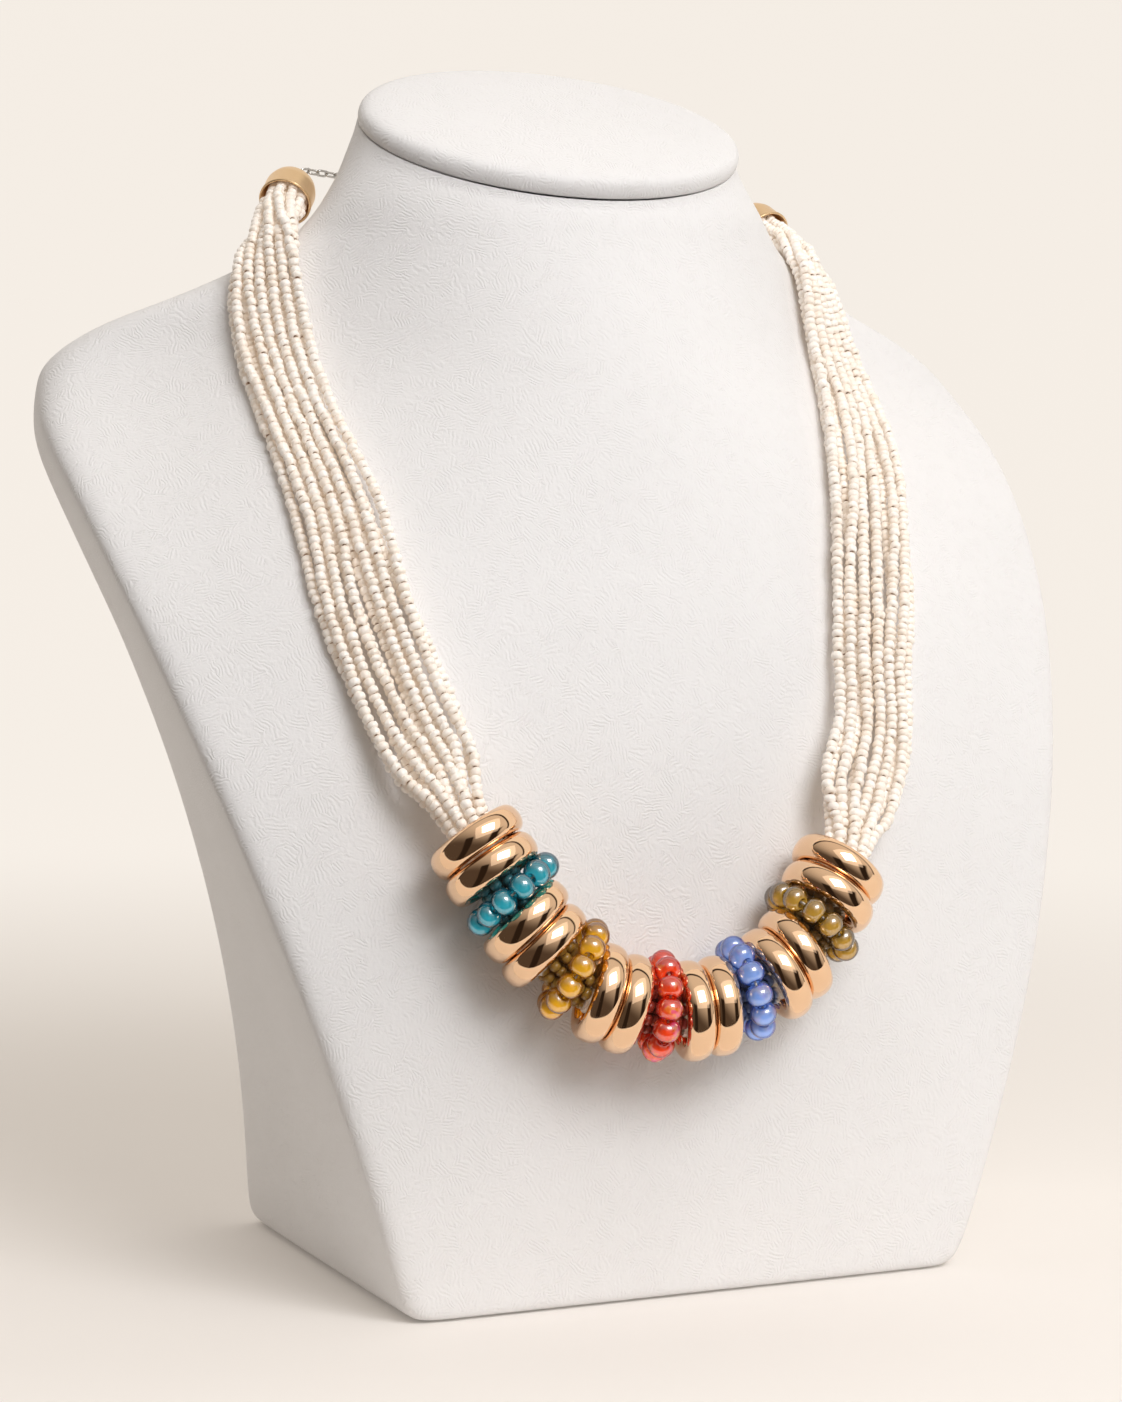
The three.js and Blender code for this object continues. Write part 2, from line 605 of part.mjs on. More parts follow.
// ---- end caps, chain and clasp ----
/** A bell that gathers the strands: hollow up to its dome, its mouth towards the bundle. */
function endCap(end) {
  const f = frameAt(end < 0 ? 0 : spineLength);
  const axis = f.along.clone().multiplyScalar(end);
  const { r, wall, length } = CAP;
  const inside = [
    { at: 0, up: length - 2.2 },
    { at: 2.2, up: length - 2.6 },
    { at: r - wall - 0.9, up: length - 4.4 },
    { at: r - wall, up: length - 6.6 },
    { at: r - wall, up: 0 },
  ];
  const outside = [
    { at: r, up: 0 },
    { at: r, up: length - 6 },
    { at: r - 0.9, up: length - 3 },
    { at: r - 2.6, up: length - 1 },
    { at: 1.5, up: length },
    { at: 0, up: length },
  ];
  const profile = [...inside, ...outside].map(({ at, up }) => new THREE.Vector2(at, up));
  const bell = new THREE.LatheGeometry(profile, 14);
  bell.applyQuaternion(new THREE.Quaternion().setFromUnitVectors(V(0, 1, 0), axis));
  bell.translate(...f.at.toArray());
  return mergePoints(bell);
}

/** The fine chain from an end cap's dome round the back of the neck to the clasp. */
function chain(end) {
  const f = frameAt(end < 0 ? 0 : spineLength);
  const start = f.at.clone().addScaledVector(f.along, end * (CAP.length + CHAIN.gap));
  const next = f.at.clone().addScaledVector(f.along, end * (CAP.length + CHAIN.straight));
  const points = [start, next];
  const steps = 6;
  for (let k = 1; k <= steps; k++) {
    const t = k / steps;
    const x = end * lerp(CHAIN.sideX, CLASP.half + CHAIN.gap + 0.2, t);
    const p = V(x, lerp(CHAIN.sideY, BACK_Y + 4, smooth(t)), lerp(next.z, CLASP.z, t));
    points.push(standOff(p, CHAIN.r + 0.6));
  }
  return cord(points, CHAIN.r, 13);
}

/** The hidden clasp, one plain rounded barrel at the back of the neck. */
function clasp() {
  const { r, half, end } = CLASP;
  const side = [
    new THREE.Vector2(0, -half),
    new THREE.Vector2(r * 0.7, -half),
    new THREE.Vector2(r, end - half),
    new THREE.Vector2(r, half - end),
    new THREE.Vector2(r * 0.7, half),
    new THREE.Vector2(0, half),
  ];
  const barrel = new THREE.LatheGeometry(side, 12);
  barrel.rotateZ(Math.PI / 2);
  barrel.translate(...standOff(V(0, 60, CLASP.z), r + 0.35).toArray());
  return mergePoints(barrel);
}

const group = new THREE.Group();
function add(name, geometry, material) {
  geometry.computeVertexNormals();
  const mesh = new THREE.Mesh(geometry, new THREE.MeshStandardMaterial(material));
  mesh.name = name;
  group.add(mesh);
}
const two = (n) => String(n).padStart(2, "0");

add("bust_body", bustBody(), LEATHER);
add("neck_cap_pad", padGeometry(), LEATHER);

let golds = 0;
STACK.forEach((name, k) => {
  if (name === "gold") add(`gold_ring_${two(++golds)}`, goldRing(k), GOLD_COLOUR);
  else add(`bead_ring_${name}`, beadRing(k), glass(GLASS_COLOUR[name]));
});

const strands = strandPoints();
settle(strands);
strands.forEach((points, i) => {
  add(`strand_${two(i + 1)}`, cord(points.map((p) => p.at), BEAD_R, 64), IVORY);
});

add("end_cap_right_side", endCap(-1), SATIN_GOLD);
add("end_cap_left_side", endCap(1), SATIN_GOLD);
add("chain_right_side", chain(-1), STEEL);
add("chain_left_side", chain(1), STEEL);
add("clasp", clasp(), STEEL);

export default group;
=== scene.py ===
"""Looks of the mala necklace and its neck bust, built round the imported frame, in metres.

The front faces -Y, +X is the wearer's left, +Z is up, and the bust stands on z = 0.
"""

import math

import bmesh
import bpy
import numpy as np
from mathutils import Matrix, Vector
from mathutils.bvhtree import BVHTree


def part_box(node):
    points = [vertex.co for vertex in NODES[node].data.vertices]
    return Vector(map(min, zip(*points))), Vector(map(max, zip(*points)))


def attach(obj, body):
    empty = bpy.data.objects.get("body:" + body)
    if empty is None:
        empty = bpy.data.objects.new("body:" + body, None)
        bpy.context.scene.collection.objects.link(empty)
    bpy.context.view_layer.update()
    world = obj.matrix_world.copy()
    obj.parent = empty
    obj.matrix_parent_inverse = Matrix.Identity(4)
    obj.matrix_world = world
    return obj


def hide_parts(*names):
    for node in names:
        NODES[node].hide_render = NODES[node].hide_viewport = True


MM = 0.001

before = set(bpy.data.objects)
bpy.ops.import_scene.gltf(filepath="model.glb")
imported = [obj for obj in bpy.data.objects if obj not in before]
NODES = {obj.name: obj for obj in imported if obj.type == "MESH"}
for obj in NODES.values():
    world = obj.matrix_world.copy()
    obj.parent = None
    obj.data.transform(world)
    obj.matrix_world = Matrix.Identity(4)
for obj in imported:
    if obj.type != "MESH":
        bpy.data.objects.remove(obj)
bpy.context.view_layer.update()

STRAND_NODES = sorted(n for n in NODES if n.startswith("strand_"))
GOLD_NODES = sorted(n for n in NODES if n.startswith("gold_ring_"))
GLASS_NODES = sorted(n for n in NODES if n.startswith("bead_ring_"))
CAP_NODES = ["end_cap_right_side", "end_cap_left_side"]
CHAIN_NODES = ["chain_right_side", "chain_left_side"]


# ---- camera, stage and light ----

VIEW = {"azimuth": -24.24, "elevation": 3.3, "distance": 0.75, "aim": (-0.00813, -0.00235, 0.12746)}
FOCAL_PER_HEIGHT = 2.3270  # focal length over the height of the picture


def towards(azimuth, elevation):
    """Unit vector from the object towards a viewer or a light at these angles, in degrees."""
    a, e = math.radians(azimuth), math.radians(elevation)
    return Vector((math.sin(a) * math.cos(e), -math.cos(a) * math.cos(e), math.sin(e)))


def facing(direction):
    """Rotation that turns an object's -Z axis along the direction, its Y axis up."""
    return direction.to_track_quat("-Z", "Y").to_euler()


def add_camera():
    """A camera where the photograph was taken from, upright and looking at its middle."""
    data = bpy.data.cameras.new("camera")
    data.sensor_fit = "VERTICAL"
    data.sensor_height = 36
    data.lens = 36 * FOCAL_PER_HEIGHT
    camera = bpy.data.objects.new("camera", data)
    back = towards(VIEW["azimuth"], VIEW["elevation"])
    camera.location = Vector(VIEW["aim"]) + back * VIEW["distance"]
    camera.rotation_euler = facing(-back)
    bpy.context.scene.collection.objects.link(camera)
    bpy.context.scene.camera = camera


KEY = {"azimuth": 5, "elevation": 35, "aim": (0, 0, 0.14), "colour": (0.985, 0.985, 1.0)}
# boxes one in front of the other, so that polished things show a bright middle with a soft edge
KEY_BOXES = [
    {"name": "key_softbox", "distance": 1.15, "width": 1.4, "height": 1.1, "watts": 2.1},
    {"name": "key_softbox_middle", "distance": 1.13, "width": 0.62, "height": 0.5, "watts": 6.1},
    {"name": "key_softbox_core", "distance": 1.11, "width": 0.32, "height": 0.28, "watts": 1.2},
]


def add_key_light():
    """One soft light from the wearer's left, above the viewer."""
    direction = towards(KEY["azimuth"], KEY["elevation"])
    for box in KEY_BOXES:
        data = bpy.data.lights.new(box["name"], "AREA")
        data.shape = "RECTANGLE"
        data.size = box["width"]
        data.size_y = box["height"]
        data.energy = box["watts"]
        data.color = KEY["colour"]
        light = bpy.data.objects.new(box["name"], data)
        light.location = Vector(KEY["aim"]) + direction * box["distance"]
        light.rotation_euler = facing(-direction)
        bpy.context.scene.collection.objects.link(light)


CREAM = (0.945, 0.885, 0.815, 1)  # the backdrop
ROOM_LOW = (0.085, 0.066, 0.052, 1)
ROOM_HIGH = (0.74, 0.69, 0.63, 1)
UNLIT = (0.025, 0.017, 0.012, 1)  # dark stands beside the lens, and the backdrop's edge


def add_world():
    """The studio as polished metal sees it: cream behind, a dim room on the viewer's side."""
    back = towards(VIEW["azimuth"], VIEW["elevation"])
    right = Vector((0, 0, 1)).cross(back).normalized()
    up = back.cross(right)
    world = bpy.data.worlds.new("studio")
    bpy.context.scene.world = world
    world.use_nodes = True
    tree = Tree(world.node_tree)
    tree.clear()
    place = tree.node("ShaderNodeTexCoord").outputs["Generated"]
    nearer = tree.vector("DOT_PRODUCT", place, back, result=1)
    aside = tree.vector("DOT_PRODUCT", place, right, result=1)
    above = tree.vector("DOT_PRODUCT", place, up, result=1)
    in_room = tree.smooth(nearer, -0.16, -0.10)
    edge = tree.math("MULTIPLY", in_room, tree.smooth(nearer, 0.0, -0.05))
    left_start, left_end = tree.smooth(aside, -0.50, -0.42), tree.smooth(aside, -0.06, -0.14)
    right_start, right_end = tree.smooth(aside, 0.66, 0.74), tree.smooth(aside, 0.96, 0.90)
    left_of_lens = tree.math("MULTIPLY", left_start, left_end)
    right_of_lens = tree.math("MULTIPLY", right_start, right_end)
    low = tree.math("MULTIPLY", tree.smooth(above, 0.34, 0.24), tree.smooth(nearer, 0.10, 0.2))
    stands = tree.math("MULTIPLY", tree.math("MAXIMUM", left_of_lens, right_of_lens), low)
    # the room is lighter towards its ceiling and towards its right
    ceiling = tree.math("ADD", above, tree.math("MULTIPLY", aside, 0.55))
    room = tree.blend(tree.smooth(ceiling, -0.3, 0.95), ROOM_LOW, ROOM_HIGH)
    room = tree.blend(tree.math("MAXIMUM", edge, stands), room, UNLIT)
    background = tree.node("ShaderNodeBackground")
    tree.link(tree.blend(in_room, CREAM, room), background.inputs["Color"])
    tree.link(background.outputs[0], tree.node("ShaderNodeOutputWorld").inputs["Surface"])


# front is how far the floor reaches towards the viewer, just out of the picture
SWEEP = {"front": 0.150, "back": 1.9, "bend": 0.8, "top": 2.6, "half_wide": 3.0, "steps": 24}
SHADE_MIDDLE = (-0.09, 0.11, 0.0)  # the paper glows least here, where the object's shade falls
PAPER_NEAR = (0.80, 0.765, 0.73, 1)
PAPER_FAR = (0.13, 0.125, 0.12, 1)
PAPER_GLOW = {"far": 0.80, "everywhere": 0.08}


def add_stage():
    """A seamless pale floor that curves up into a wall behind the object, square to the view."""
    back, bend, half = SWEEP["back"], SWEEP["bend"], SWEEP["half_wide"]
    profile = [(-SWEEP["front"], 0.0)]
    for k in range(SWEEP["steps"] + 1):
        turn = math.pi / 2 * k / SWEEP["steps"]
        profile.append((back - bend + bend * math.sin(turn), bend - bend * math.cos(turn)))
    profile.append((back, SWEEP["top"]))
    verts = [(x, y, z) for y, z in profile for x in (-half, half)]
    faces = [(2 * k, 2 * k + 1, 2 * k + 3, 2 * k + 2) for k in range(len(profile) - 1)]
    mesh = mesh_of("studio_sweep", verts, faces)
    mesh.transform(Matrix.Rotation(math.radians(VIEW["azimuth"]), 4, "Z"))
    for polygon in mesh.polygons:
        polygon.use_smooth = True
    sweep = bpy.data.objects.new("studio_sweep", mesh)
    bpy.context.scene.collection.objects.link(sweep)
    tree, bsdf = new_material("sweep_paper")
    # painted shade: the paper glows less towards the middle of the object's shade, so the floor is
    # darker round it
    from_shade = tree.vector("SUBTRACT", tree.place(), SHADE_MIDDLE)
    far = tree.smooth(tree.vector("LENGTH", from_shade, result=1), 0.08, 0.88)
    tree.link(tree.blend(far, PAPER_NEAR, PAPER_FAR), bsdf.inputs["Base Color"])
    bsdf.inputs["Roughness"].default_value = 0.9
    bsdf.inputs["Specular IOR Level"].default_value = 0.0
    bsdf.inputs["Emission Color"].default_value = CREAM
    glow = tree.math("ADD", tree.math("MULTIPLY", far, PAPER_GLOW["far"]), PAPER_GLOW["everywhere"])
    tree.link(glow, bsdf.inputs["Emission Strength"])
    mesh.materials.append(tree.owner)


# ---- node trees ----


class Tree:
    """Short names for the steps of a node tree."""

    def __init__(self, tree, owner=None):
        self.tree = tree
        self.owner = owner

    def clear(self):
        self.tree.nodes.clear()

    def node(self, kind, **settings):
        node = self.tree.nodes.new(kind)
        for key, value in settings.items():
            setattr(node, key, value)
        return node

    def link(self, source, target):
        self.tree.links.new(source, target)

    def feed(self, socket, value):
        """Links another node's output to the socket, or sets the socket to a constant."""
        if isinstance(value, bpy.types.NodeSocket):
            self.link(value, socket)
        else:
            socket.default_value = value

    def math(self, operation, a, b=0.0):
        node = self.node("ShaderNodeMath", operation=operation)
        self.feed(node.inputs[0], a)
        self.feed(node.inputs[1], b)
        return node.outputs[0]

    def vector(self, operation, a, b=(0, 0, 0), result=0):
        node = self.node("ShaderNodeVectorMath", operation=operation)
        self.feed(node.inputs[0], a)
        self.feed(node.inputs[1], b)
        return node.outputs[result]

    def scaled(self, vector, factor):
        node = self.node("ShaderNodeVectorMath", operation="SCALE")
        self.feed(node.inputs[0], vector)
        self.feed(node.inputs["Scale"], factor)
        return node.outputs[0]

    def smooth(self, value, low, high, to_low=0.0, to_high=1.0):
        """Turns values from low to high into values from to_low to to_high, eased at both ends."""
        node = self.node("ShaderNodeMapRange", interpolation_type="SMOOTHSTEP")
        self.feed(node.inputs["Value"], value)
        node.inputs["From Min"].default_value = low
        node.inputs["From Max"].default_value = high
        node.inputs["To Min"].default_value = to_low
        node.inputs["To Max"].default_value = to_high
        return node.outputs[0]

    def noise(self, place, scale, detail):
        node = self.node("ShaderNodeTexNoise")
        self.feed(node.inputs["Vector"], place)
        node.inputs["Scale"].default_value = scale
        node.inputs["Detail"].default_value = detail
        node.inputs["Roughness"].default_value = 0.5
        return node

    def blend(self, factor, a, b):
        """Colour a where the factor is 0, b where it is 1."""
        node = self.node("ShaderNodeMix", data_type="RGBA")
        self.feed(node.inputs[0], factor)
        self.feed(node.inputs[6], a)
        self.feed(node.inputs[7], b)
        return node.outputs[2]

    def ramp(self, factor, stops):
        """Colours between stops, each a place from 0 to 1 and its colour."""
        node = self.node("ShaderNodeValToRGB")
        self.feed(node.inputs[0], factor)
        elements = node.color_ramp.elements
        while len(elements) < len(stops):
            elements.new(0.5)
        for element, (at, colour) in zip(elements, stops):
            element.position = at
            element.color = colour
        return node.outputs[0]

    def attribute(self, name):
        """A number that the mesh's corners carry."""
        node = self.node("ShaderNodeAttribute", attribute_name=name)
        return node.outputs["Fac"]

    def bump(self, height, distance, strength):
        node = self.node("ShaderNodeBump")
        node.inputs["Distance"].default_value = distance
        node.inputs["Strength"].default_value = strength
        self.link(height, node.inputs["Height"])
        return node.outputs[0]

    def place(self):
        """The point itself, in metres, because every piece's object sits at the origin."""
        return self.node("ShaderNodeTexCoord").outputs["Object"]


def new_material(name):
    """A material with one Principled shader: its node tree and that shader."""
    material = bpy.data.materials.new(name)
    material.use_nodes = True
    tree = Tree(material.node_tree, material)
    tree.clear()
    bsdf = tree.node("ShaderNodeBsdfPrincipled")
    tree.link(bsdf.outputs[0], tree.node("ShaderNodeOutputMaterial").inputs["Surface"])
    return tree, bsdf


# ---- materials ----

GRAIN_PATCH = 3.6 * MM  # the strokes keep one direction over about this much
GRAIN_RIDGE = 0.72 * MM  # from one stroke to the next
GRAIN_WOBBLE = 1.6 * MM
GRAIN_DEEP = 0.06 * MM


def leatherette():
    """White leatherette embossed with fine strokes, their direction new from patch to patch."""
    tree, bsdf = new_material("white_leatherette")
    place = tree.place()
    wobble = tree.noise(place, 420, detail=2).outputs["Color"]
    wobble = tree.vector("SUBTRACT", wobble, (0.5, 0.5, 0.5))
    warped = tree.vector("ADD", place, tree.scaled(wobble, GRAIN_WOBBLE))
    patches = tree.node("ShaderNodeTexVoronoi", feature="F1")
    patches.inputs["Scale"].default_value = 1 / GRAIN_PATCH
    tree.link(warped, patches.inputs["Vector"])
    heading = tree.vector("SUBTRACT", patches.outputs["Color"], (0.5, 0.5, 0.5))
    heading = tree.vector("NORMALIZE", heading)
    local = tree.vector("SUBTRACT", warped, patches.outputs["Position"])
    along = tree.vector("DOT_PRODUCT", heading, local, result=1)
    ridge = tree.math("SINE", tree.math("MULTIPLY", along, 2 * math.pi / GRAIN_RIDGE))
    shown = tree.smooth(tree.noise(place, 520, detail=1).outputs["Fac"], 0.36, 0.60)
    stroke = tree.math("MULTIPLY", ridge, shown)
    pores = tree.noise(place, 1300, detail=3).outputs["Fac"]
    height = tree.math("ADD", tree.math("MULTIPLY", stroke, 0.6), tree.math("MULTIPLY", pores, 1.4))
    tree.link(tree.bump(height, GRAIN_DEEP, 1.0), bsdf.inputs["Normal"])
    cloud = tree.smooth(tree.noise(place, 14, detail=4).outputs["Fac"], 0.3, 0.7)
    tone = tree.blend(cloud, (0.800, 0.790, 0.787, 1), (0.825, 0.815, 0.813, 1))
    tree.link(tone, bsdf.inputs["Base Color"])
    tree.link(tree.smooth(pores, 0.3, 0.7, 0.6, 0.7), bsdf.inputs["Roughness"])
    bsdf.inputs["Specular IOR Level"].default_value = 0.35
    bsdf.inputs["Sheen Weight"].default_value = 0.05
    bsdf.inputs["Sheen Roughness"].default_value = 0.5
    return tree.owner


# painted glow on the seed beads
BEAD_GLOW = 0.08  # stands for the light that comes through such small glass beads


def ivory_glass():
    """Ivory seed beads: tone from bead to bead, painted shade in the holes, a soft lustre, a painted
    glow, and painted shade tinted with the glass's colour on the beads inside the glass rings."""
    tree, bsdf = new_material("ivory_seed_bead")
    tone = tree.attribute("tone")
    stops = [
        (0.00, (0.90, 0.815, 0.72, 1)),
        (0.35, (0.95, 0.89, 0.82, 1)),
        (0.75, (0.96, 0.92, 0.87, 1)),
        (1.00, (0.92, 0.835, 0.745, 1)),
    ]
    body = tree.ramp(tone, stops)
    flecks = tree.noise(tree.place(), 1500, detail=3).outputs["Fac"]
    body = tree.blend(tree.smooth(flecks, 0.60, 0.80, 0, 0.3), body, (0.84, 0.71, 0.60, 1))
    # painted shade in the holes, browned like the thread seen inside them
    body = tree.blend(tree.attribute("hole"), body, (0.66, 0.49, 0.35, 1))
    # painted shade, tinted with the glass's colour, on the beads inside the glass rings
    cast = tree.node("ShaderNodeAttribute", attribute_name="cast")
    body = tree.blend(cast.outputs["Alpha"], body, cast.outputs["Color"])
    tree.link(body, bsdf.inputs["Base Color"])
    wear = tree.noise(tree.place(), 900, detail=2).outputs["Fac"]
    tree.link(tree.smooth(wear, 0.3, 0.7, 0.26, 0.42), bsdf.inputs["Roughness"])
    tree.link(tree.bump(wear, 0.05 * MM, 0.5), bsdf.inputs["Normal"])
    bsdf.inputs["IOR"].default_value = 1.5
    # painted glow, left off the beads inside the glass rings
    bsdf.inputs["Emission Color"].default_value = (1.0, 0.78, 0.58, 1)
    glow = tree.math("SUBTRACT", 1.0, cast.outputs["Alpha"])
    tree.link(tree.math("MULTIPLY", glow, BEAD_GLOW), bsdf.inputs["Emission Strength"])
    bsdf.inputs["Coat Weight"].default_value = 0.25
    bsdf.inputs["Coat Roughness"].default_value = 0.15
    return tree.owner


def thread_material(name, colour):
    """Matt twisted thread, with darker flecks of the same colour."""
    tree, bsdf = new_material(name)
    twist = tree.noise(tree.place(), 3000, detail=1).outputs["Fac"]
    dark = tuple(c * 0.7 for c in colour[:3]) + (1,)
    tree.link(tree.blend(twist, dark, colour), bsdf.inputs["Base Color"])
    bsdf.inputs["Roughness"].default_value = 0.7
    return tree.owner


def polished_gold():
    """Light rose gold, mirror polished, with faint handling marks."""
    tree, bsdf = new_material("polished_rose_gold")
    place = tree.place()
    bsdf.inputs["Metallic"].default_value = 1.0
    smear = tree.noise(place, 170, detail=4).outputs["Fac"]
    tree.link(tree.smooth(smear, 0.35, 0.75, 0.045, 0.10), bsdf.inputs["Roughness"])
    tint = tree.blend(smear, (0.91, 0.60, 0.375, 1), (0.93, 0.64, 0.41, 1))
    tree.link(tint, bsdf.inputs["Base Color"])
    ripple = tree.noise(place, 90, detail=1).outputs["Fac"]
    tree.link(tree.bump(ripple, 0.03 * MM, 0.5), bsdf.inputs["Normal"])
    return tree.owner


def satin_gold():
    """Yellower gold with a fine satin brushing."""
    tree, bsdf = new_material("satin_gold")
    place = tree.place()
    bsdf.inputs["Metallic"].default_value = 1.0
    grain = tree.noise(place, 1800, detail=2).outputs["Fac"]
    tree.link(tree.smooth(grain, 0.3, 0.7, 0.30, 0.42), bsdf.inputs["Roughness"])
    tint = tree.blend(grain, (0.80, 0.56, 0.31, 1), (0.86, 0.63, 0.38, 1))
    tree.link(tint, bsdf.inputs["Base Color"])
    tree.link(tree.bump(grain, 0.02 * MM, 0.5), bsdf.inputs["Normal"])
    return tree.owner


def bright_steel():
    """Silvery metal with faint marks."""
    tree, bsdf = new_material("bright_steel")
    bsdf.inputs["Metallic"].default_value = 1.0
    marks = tree.noise(tree.place(), 700, detail=3).outputs["Fac"]
    tree.link(tree.smooth(marks, 0.3, 0.7, 0.14, 0.28), bsdf.inputs["Roughness"])
    tint = tree.blend(marks, (0.62, 0.61, 0.59, 1), (0.74, 0.73, 0.71, 1))
    tree.link(tint, bsdf.inputs["Base Color"])
    return tree.owner


# each glass: its colour in the painted shade at the rim and in the painted light where light gathers,
# and how strong its painted lustre is
GLASS = {
    "teal": {"deep": (0.002, 0.085, 0.135, 1), "light": (0.03, 0.42, 0.52, 1), "lustre": 0},
    "amber": {"deep": (0.24, 0.09, 0.002, 1), "light": (0.90, 0.47, 0.02, 1), "lustre": 0},
    "red": {"deep": (0.50, 0.004, 0.002, 1), "light": (0.93, 0.07, 0.012, 1), "lustre": 1},
    "blue": {"deep": (0.040, 0.11, 0.43, 1), "light": (0.26, 0.43, 0.88, 1), "lustre": 0.3},
    "olive": {"deep": (0.085, 0.042, 0.002, 1), "light": (0.56, 0.32, 0.045, 1), "lustre": 0},
}
# the painted lustre's colours, by place on the ramp
LUSTRE = [
    (0.35, (0.98, 0.42, 0.05, 1)),
    (0.50, (0.99, 0.62, 0.12, 1)),
    (0.62, (0.90, 0.22, 0.62, 1)),
]
# painted light: a glass bead is made lighter and glowing on its far side, where it would gather the
# lamp's light; how much it glows there and all over
GLASS_BRIGHT_SIDE = (-0.25, -0.62, -0.74)
GLASS_GATHERED = 0.35
GLASS_GLOW = 0.03


def coloured_glass(name):
    """Coloured glass with painted shade at the rim and painted light where it would gather the lamp's
    light, a little different in every bead, with a painted lustre on some.
    """
    look = GLASS[name]
    tree, bsdf = new_material(f"glass_{name}")
    place = tree.place()
    swirl = tree.noise(place, 420, detail=3).outputs["Fac"]
    own = tree.math("MULTIPLY", tree.attribute("tone"), 0.35)
    mixed = tree.math("ADD", own, tree.math("MULTIPLY", swirl, 0.2))
    rim = tree.smooth(tree.node("ShaderNodeLayerWeight").outputs["Facing"], 0.2, 0.8)
    outward = tree.node("ShaderNodeNewGeometry").outputs["Normal"]
    away = tree.vector("DOT_PRODUCT", outward, GLASS_BRIGHT_SIDE, result=1)
    painted_gathered_light = tree.math("MULTIPLY", tree.smooth(away, 0.1, 0.95), tree.math("SUBTRACT", 1.0, rim))
    # painted shade at the rim, painted light and glow on the side away from the lamp
    tone_and_painted_light = tree.math("SUBTRACT", tree.math("ADD", mixed, 0.1), rim)
    tone_and_painted_light = tree.math("ADD", tone_and_painted_light, tree.math("MULTIPLY", painted_gathered_light, 0.85))
    body = tree.blend(tree.smooth(tone_and_painted_light, -0.3, 0.95), look["deep"], look["light"])
    tree.link(body, bsdf.inputs["Emission Color"])
    glow = tree.math("ADD", tree.math("MULTIPLY", painted_gathered_light, GLASS_GATHERED), GLASS_GLOW)
    tree.link(glow, bsdf.inputs["Emission Strength"])
    # painted sheen: orange and violet patches in the base colour stand in for the lustre's iridescent
    # reflection
    if look["lustre"]:
        patch = tree.noise(place, 330, detail=1)
        shown = tree.smooth(patch.outputs["Fac"], 0.50, 0.66, 0, 0.7 * look["lustre"])
        hue = tree.ramp(tree.noise(place, 700, detail=0).outputs["Fac"], LUSTRE)
        body = tree.blend(shown, body, hue)
    tree.link(body, bsdf.inputs["Base Color"])
    tree.link(tree.smooth(swirl, 0.3, 0.7, 0.02, 0.05), bsdf.inputs["Roughness"])
    bsdf.inputs["Transmission Weight"].default_value = 0.4
    bsdf.inputs["IOR"].default_value = 1.55
    tree.link(tree.math("SUBTRACT", 1.0, tree.math("MULTIPLY", rim, 0.8)), bsdf.inputs["Coat Weight"])
    bsdf.inputs["Coat Roughness"].default_value = 0.03
    bsdf.inputs["Coat IOR"].default_value = 2.1
    return tree.owner


# ---- meshes ----


def new_piece(name, mesh, materials, node):
    """Puts a finished mesh in the scene in place of a CAD node."""
    for polygon in mesh.polygons:
        polygon.use_smooth = True
    for material in materials:
        mesh.materials.append(material)
    piece = bpy.data.objects.new(name, mesh)
    bpy.context.scene.collection.objects.link(piece)
    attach(piece, "root")
    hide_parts(node)
    return piece


def grid_faces(rows, columns, start=0, wrap_rows=False):
    """Quads of a grid of points that closes round its columns, and round its rows if asked."""
    faces = []
    for i in range(rows if wrap_rows else rows - 1):
        for j in range(columns):
            k = (j + 1) % columns
            below, above = start + i * columns, start + ((i + 1) % rows) * columns
            faces.append((below + j, below + k, above + k, above + j))
    return faces


def mesh_of(name, verts, faces):
    """A mesh from corners and the faces between them."""
    mesh = bpy.data.meshes.new(name)
    mesh.from_pydata([tuple(v) for v in verts], [], faces)
    return mesh


def set_attribute(mesh, name, values):
    """Gives each corner a number that a material can read."""
    attribute = mesh.attributes.new(name, "FLOAT", "POINT")
    attribute.data.foreach_set("value", np.asarray(values, np.float32))


def set_colours(mesh, name, values):
    """Gives each corner a colour that a material can read."""
    attribute = mesh.attributes.new(name, "FLOAT_COLOR", "POINT")
    attribute.data.foreach_set("color", np.asarray(values, np.float32).ravel())


def second_material_from(mesh, first, count):
    """Gives the faces from the first of these on the mesh's second material."""
    slots = np.zeros(count, np.int32)
    slots[first:] = 1
    mesh.polygons.foreach_set("material_index", slots)


def welded(node):
    """The CAD node's mesh with each corner stated once."""
    bm = bmesh.new()
    bm.from_mesh(NODES[node].data)
    bmesh.ops.remove_doubles(bm, verts=bm.verts, dist=0.002 * MM)
    return bm


def corners(node):
    """The CAD node's corners as rows of x, y and z."""
    bm = welded(node)
    points = np.array([v.co for v in bm.verts])
    bm.free()
    return points


def subdivided(name, coarse, levels, crease_over):
    """A smooth mesh from a coarse one, still sharp at edges that turn more than given."""
    bm = bmesh.new()
    bm.from_mesh(coarse)
    crease = bm.edges.layers.float.new("crease_edge")
    for edge in bm.edges:
        if len(edge.link_faces) == 2 and edge.calc_face_angle() > math.radians(crease_over):
            edge[crease] = 1.0
    bm.to_mesh(coarse)
    bm.free()
    holder = bpy.data.objects.new(name + "_coarse", coarse)
    bpy.context.scene.collection.objects.link(holder)
    modifier = holder.modifiers.new("smooth", "SUBSURF")
    modifier.levels = levels
    modifier.render_levels = levels
    bpy.context.view_layer.update()
    evaluated = holder.evaluated_get(bpy.context.evaluated_depsgraph_get())
    mesh = bpy.data.meshes.new_from_object(evaluated)
    mesh.name = name
    bpy.data.objects.remove(holder)
    return mesh


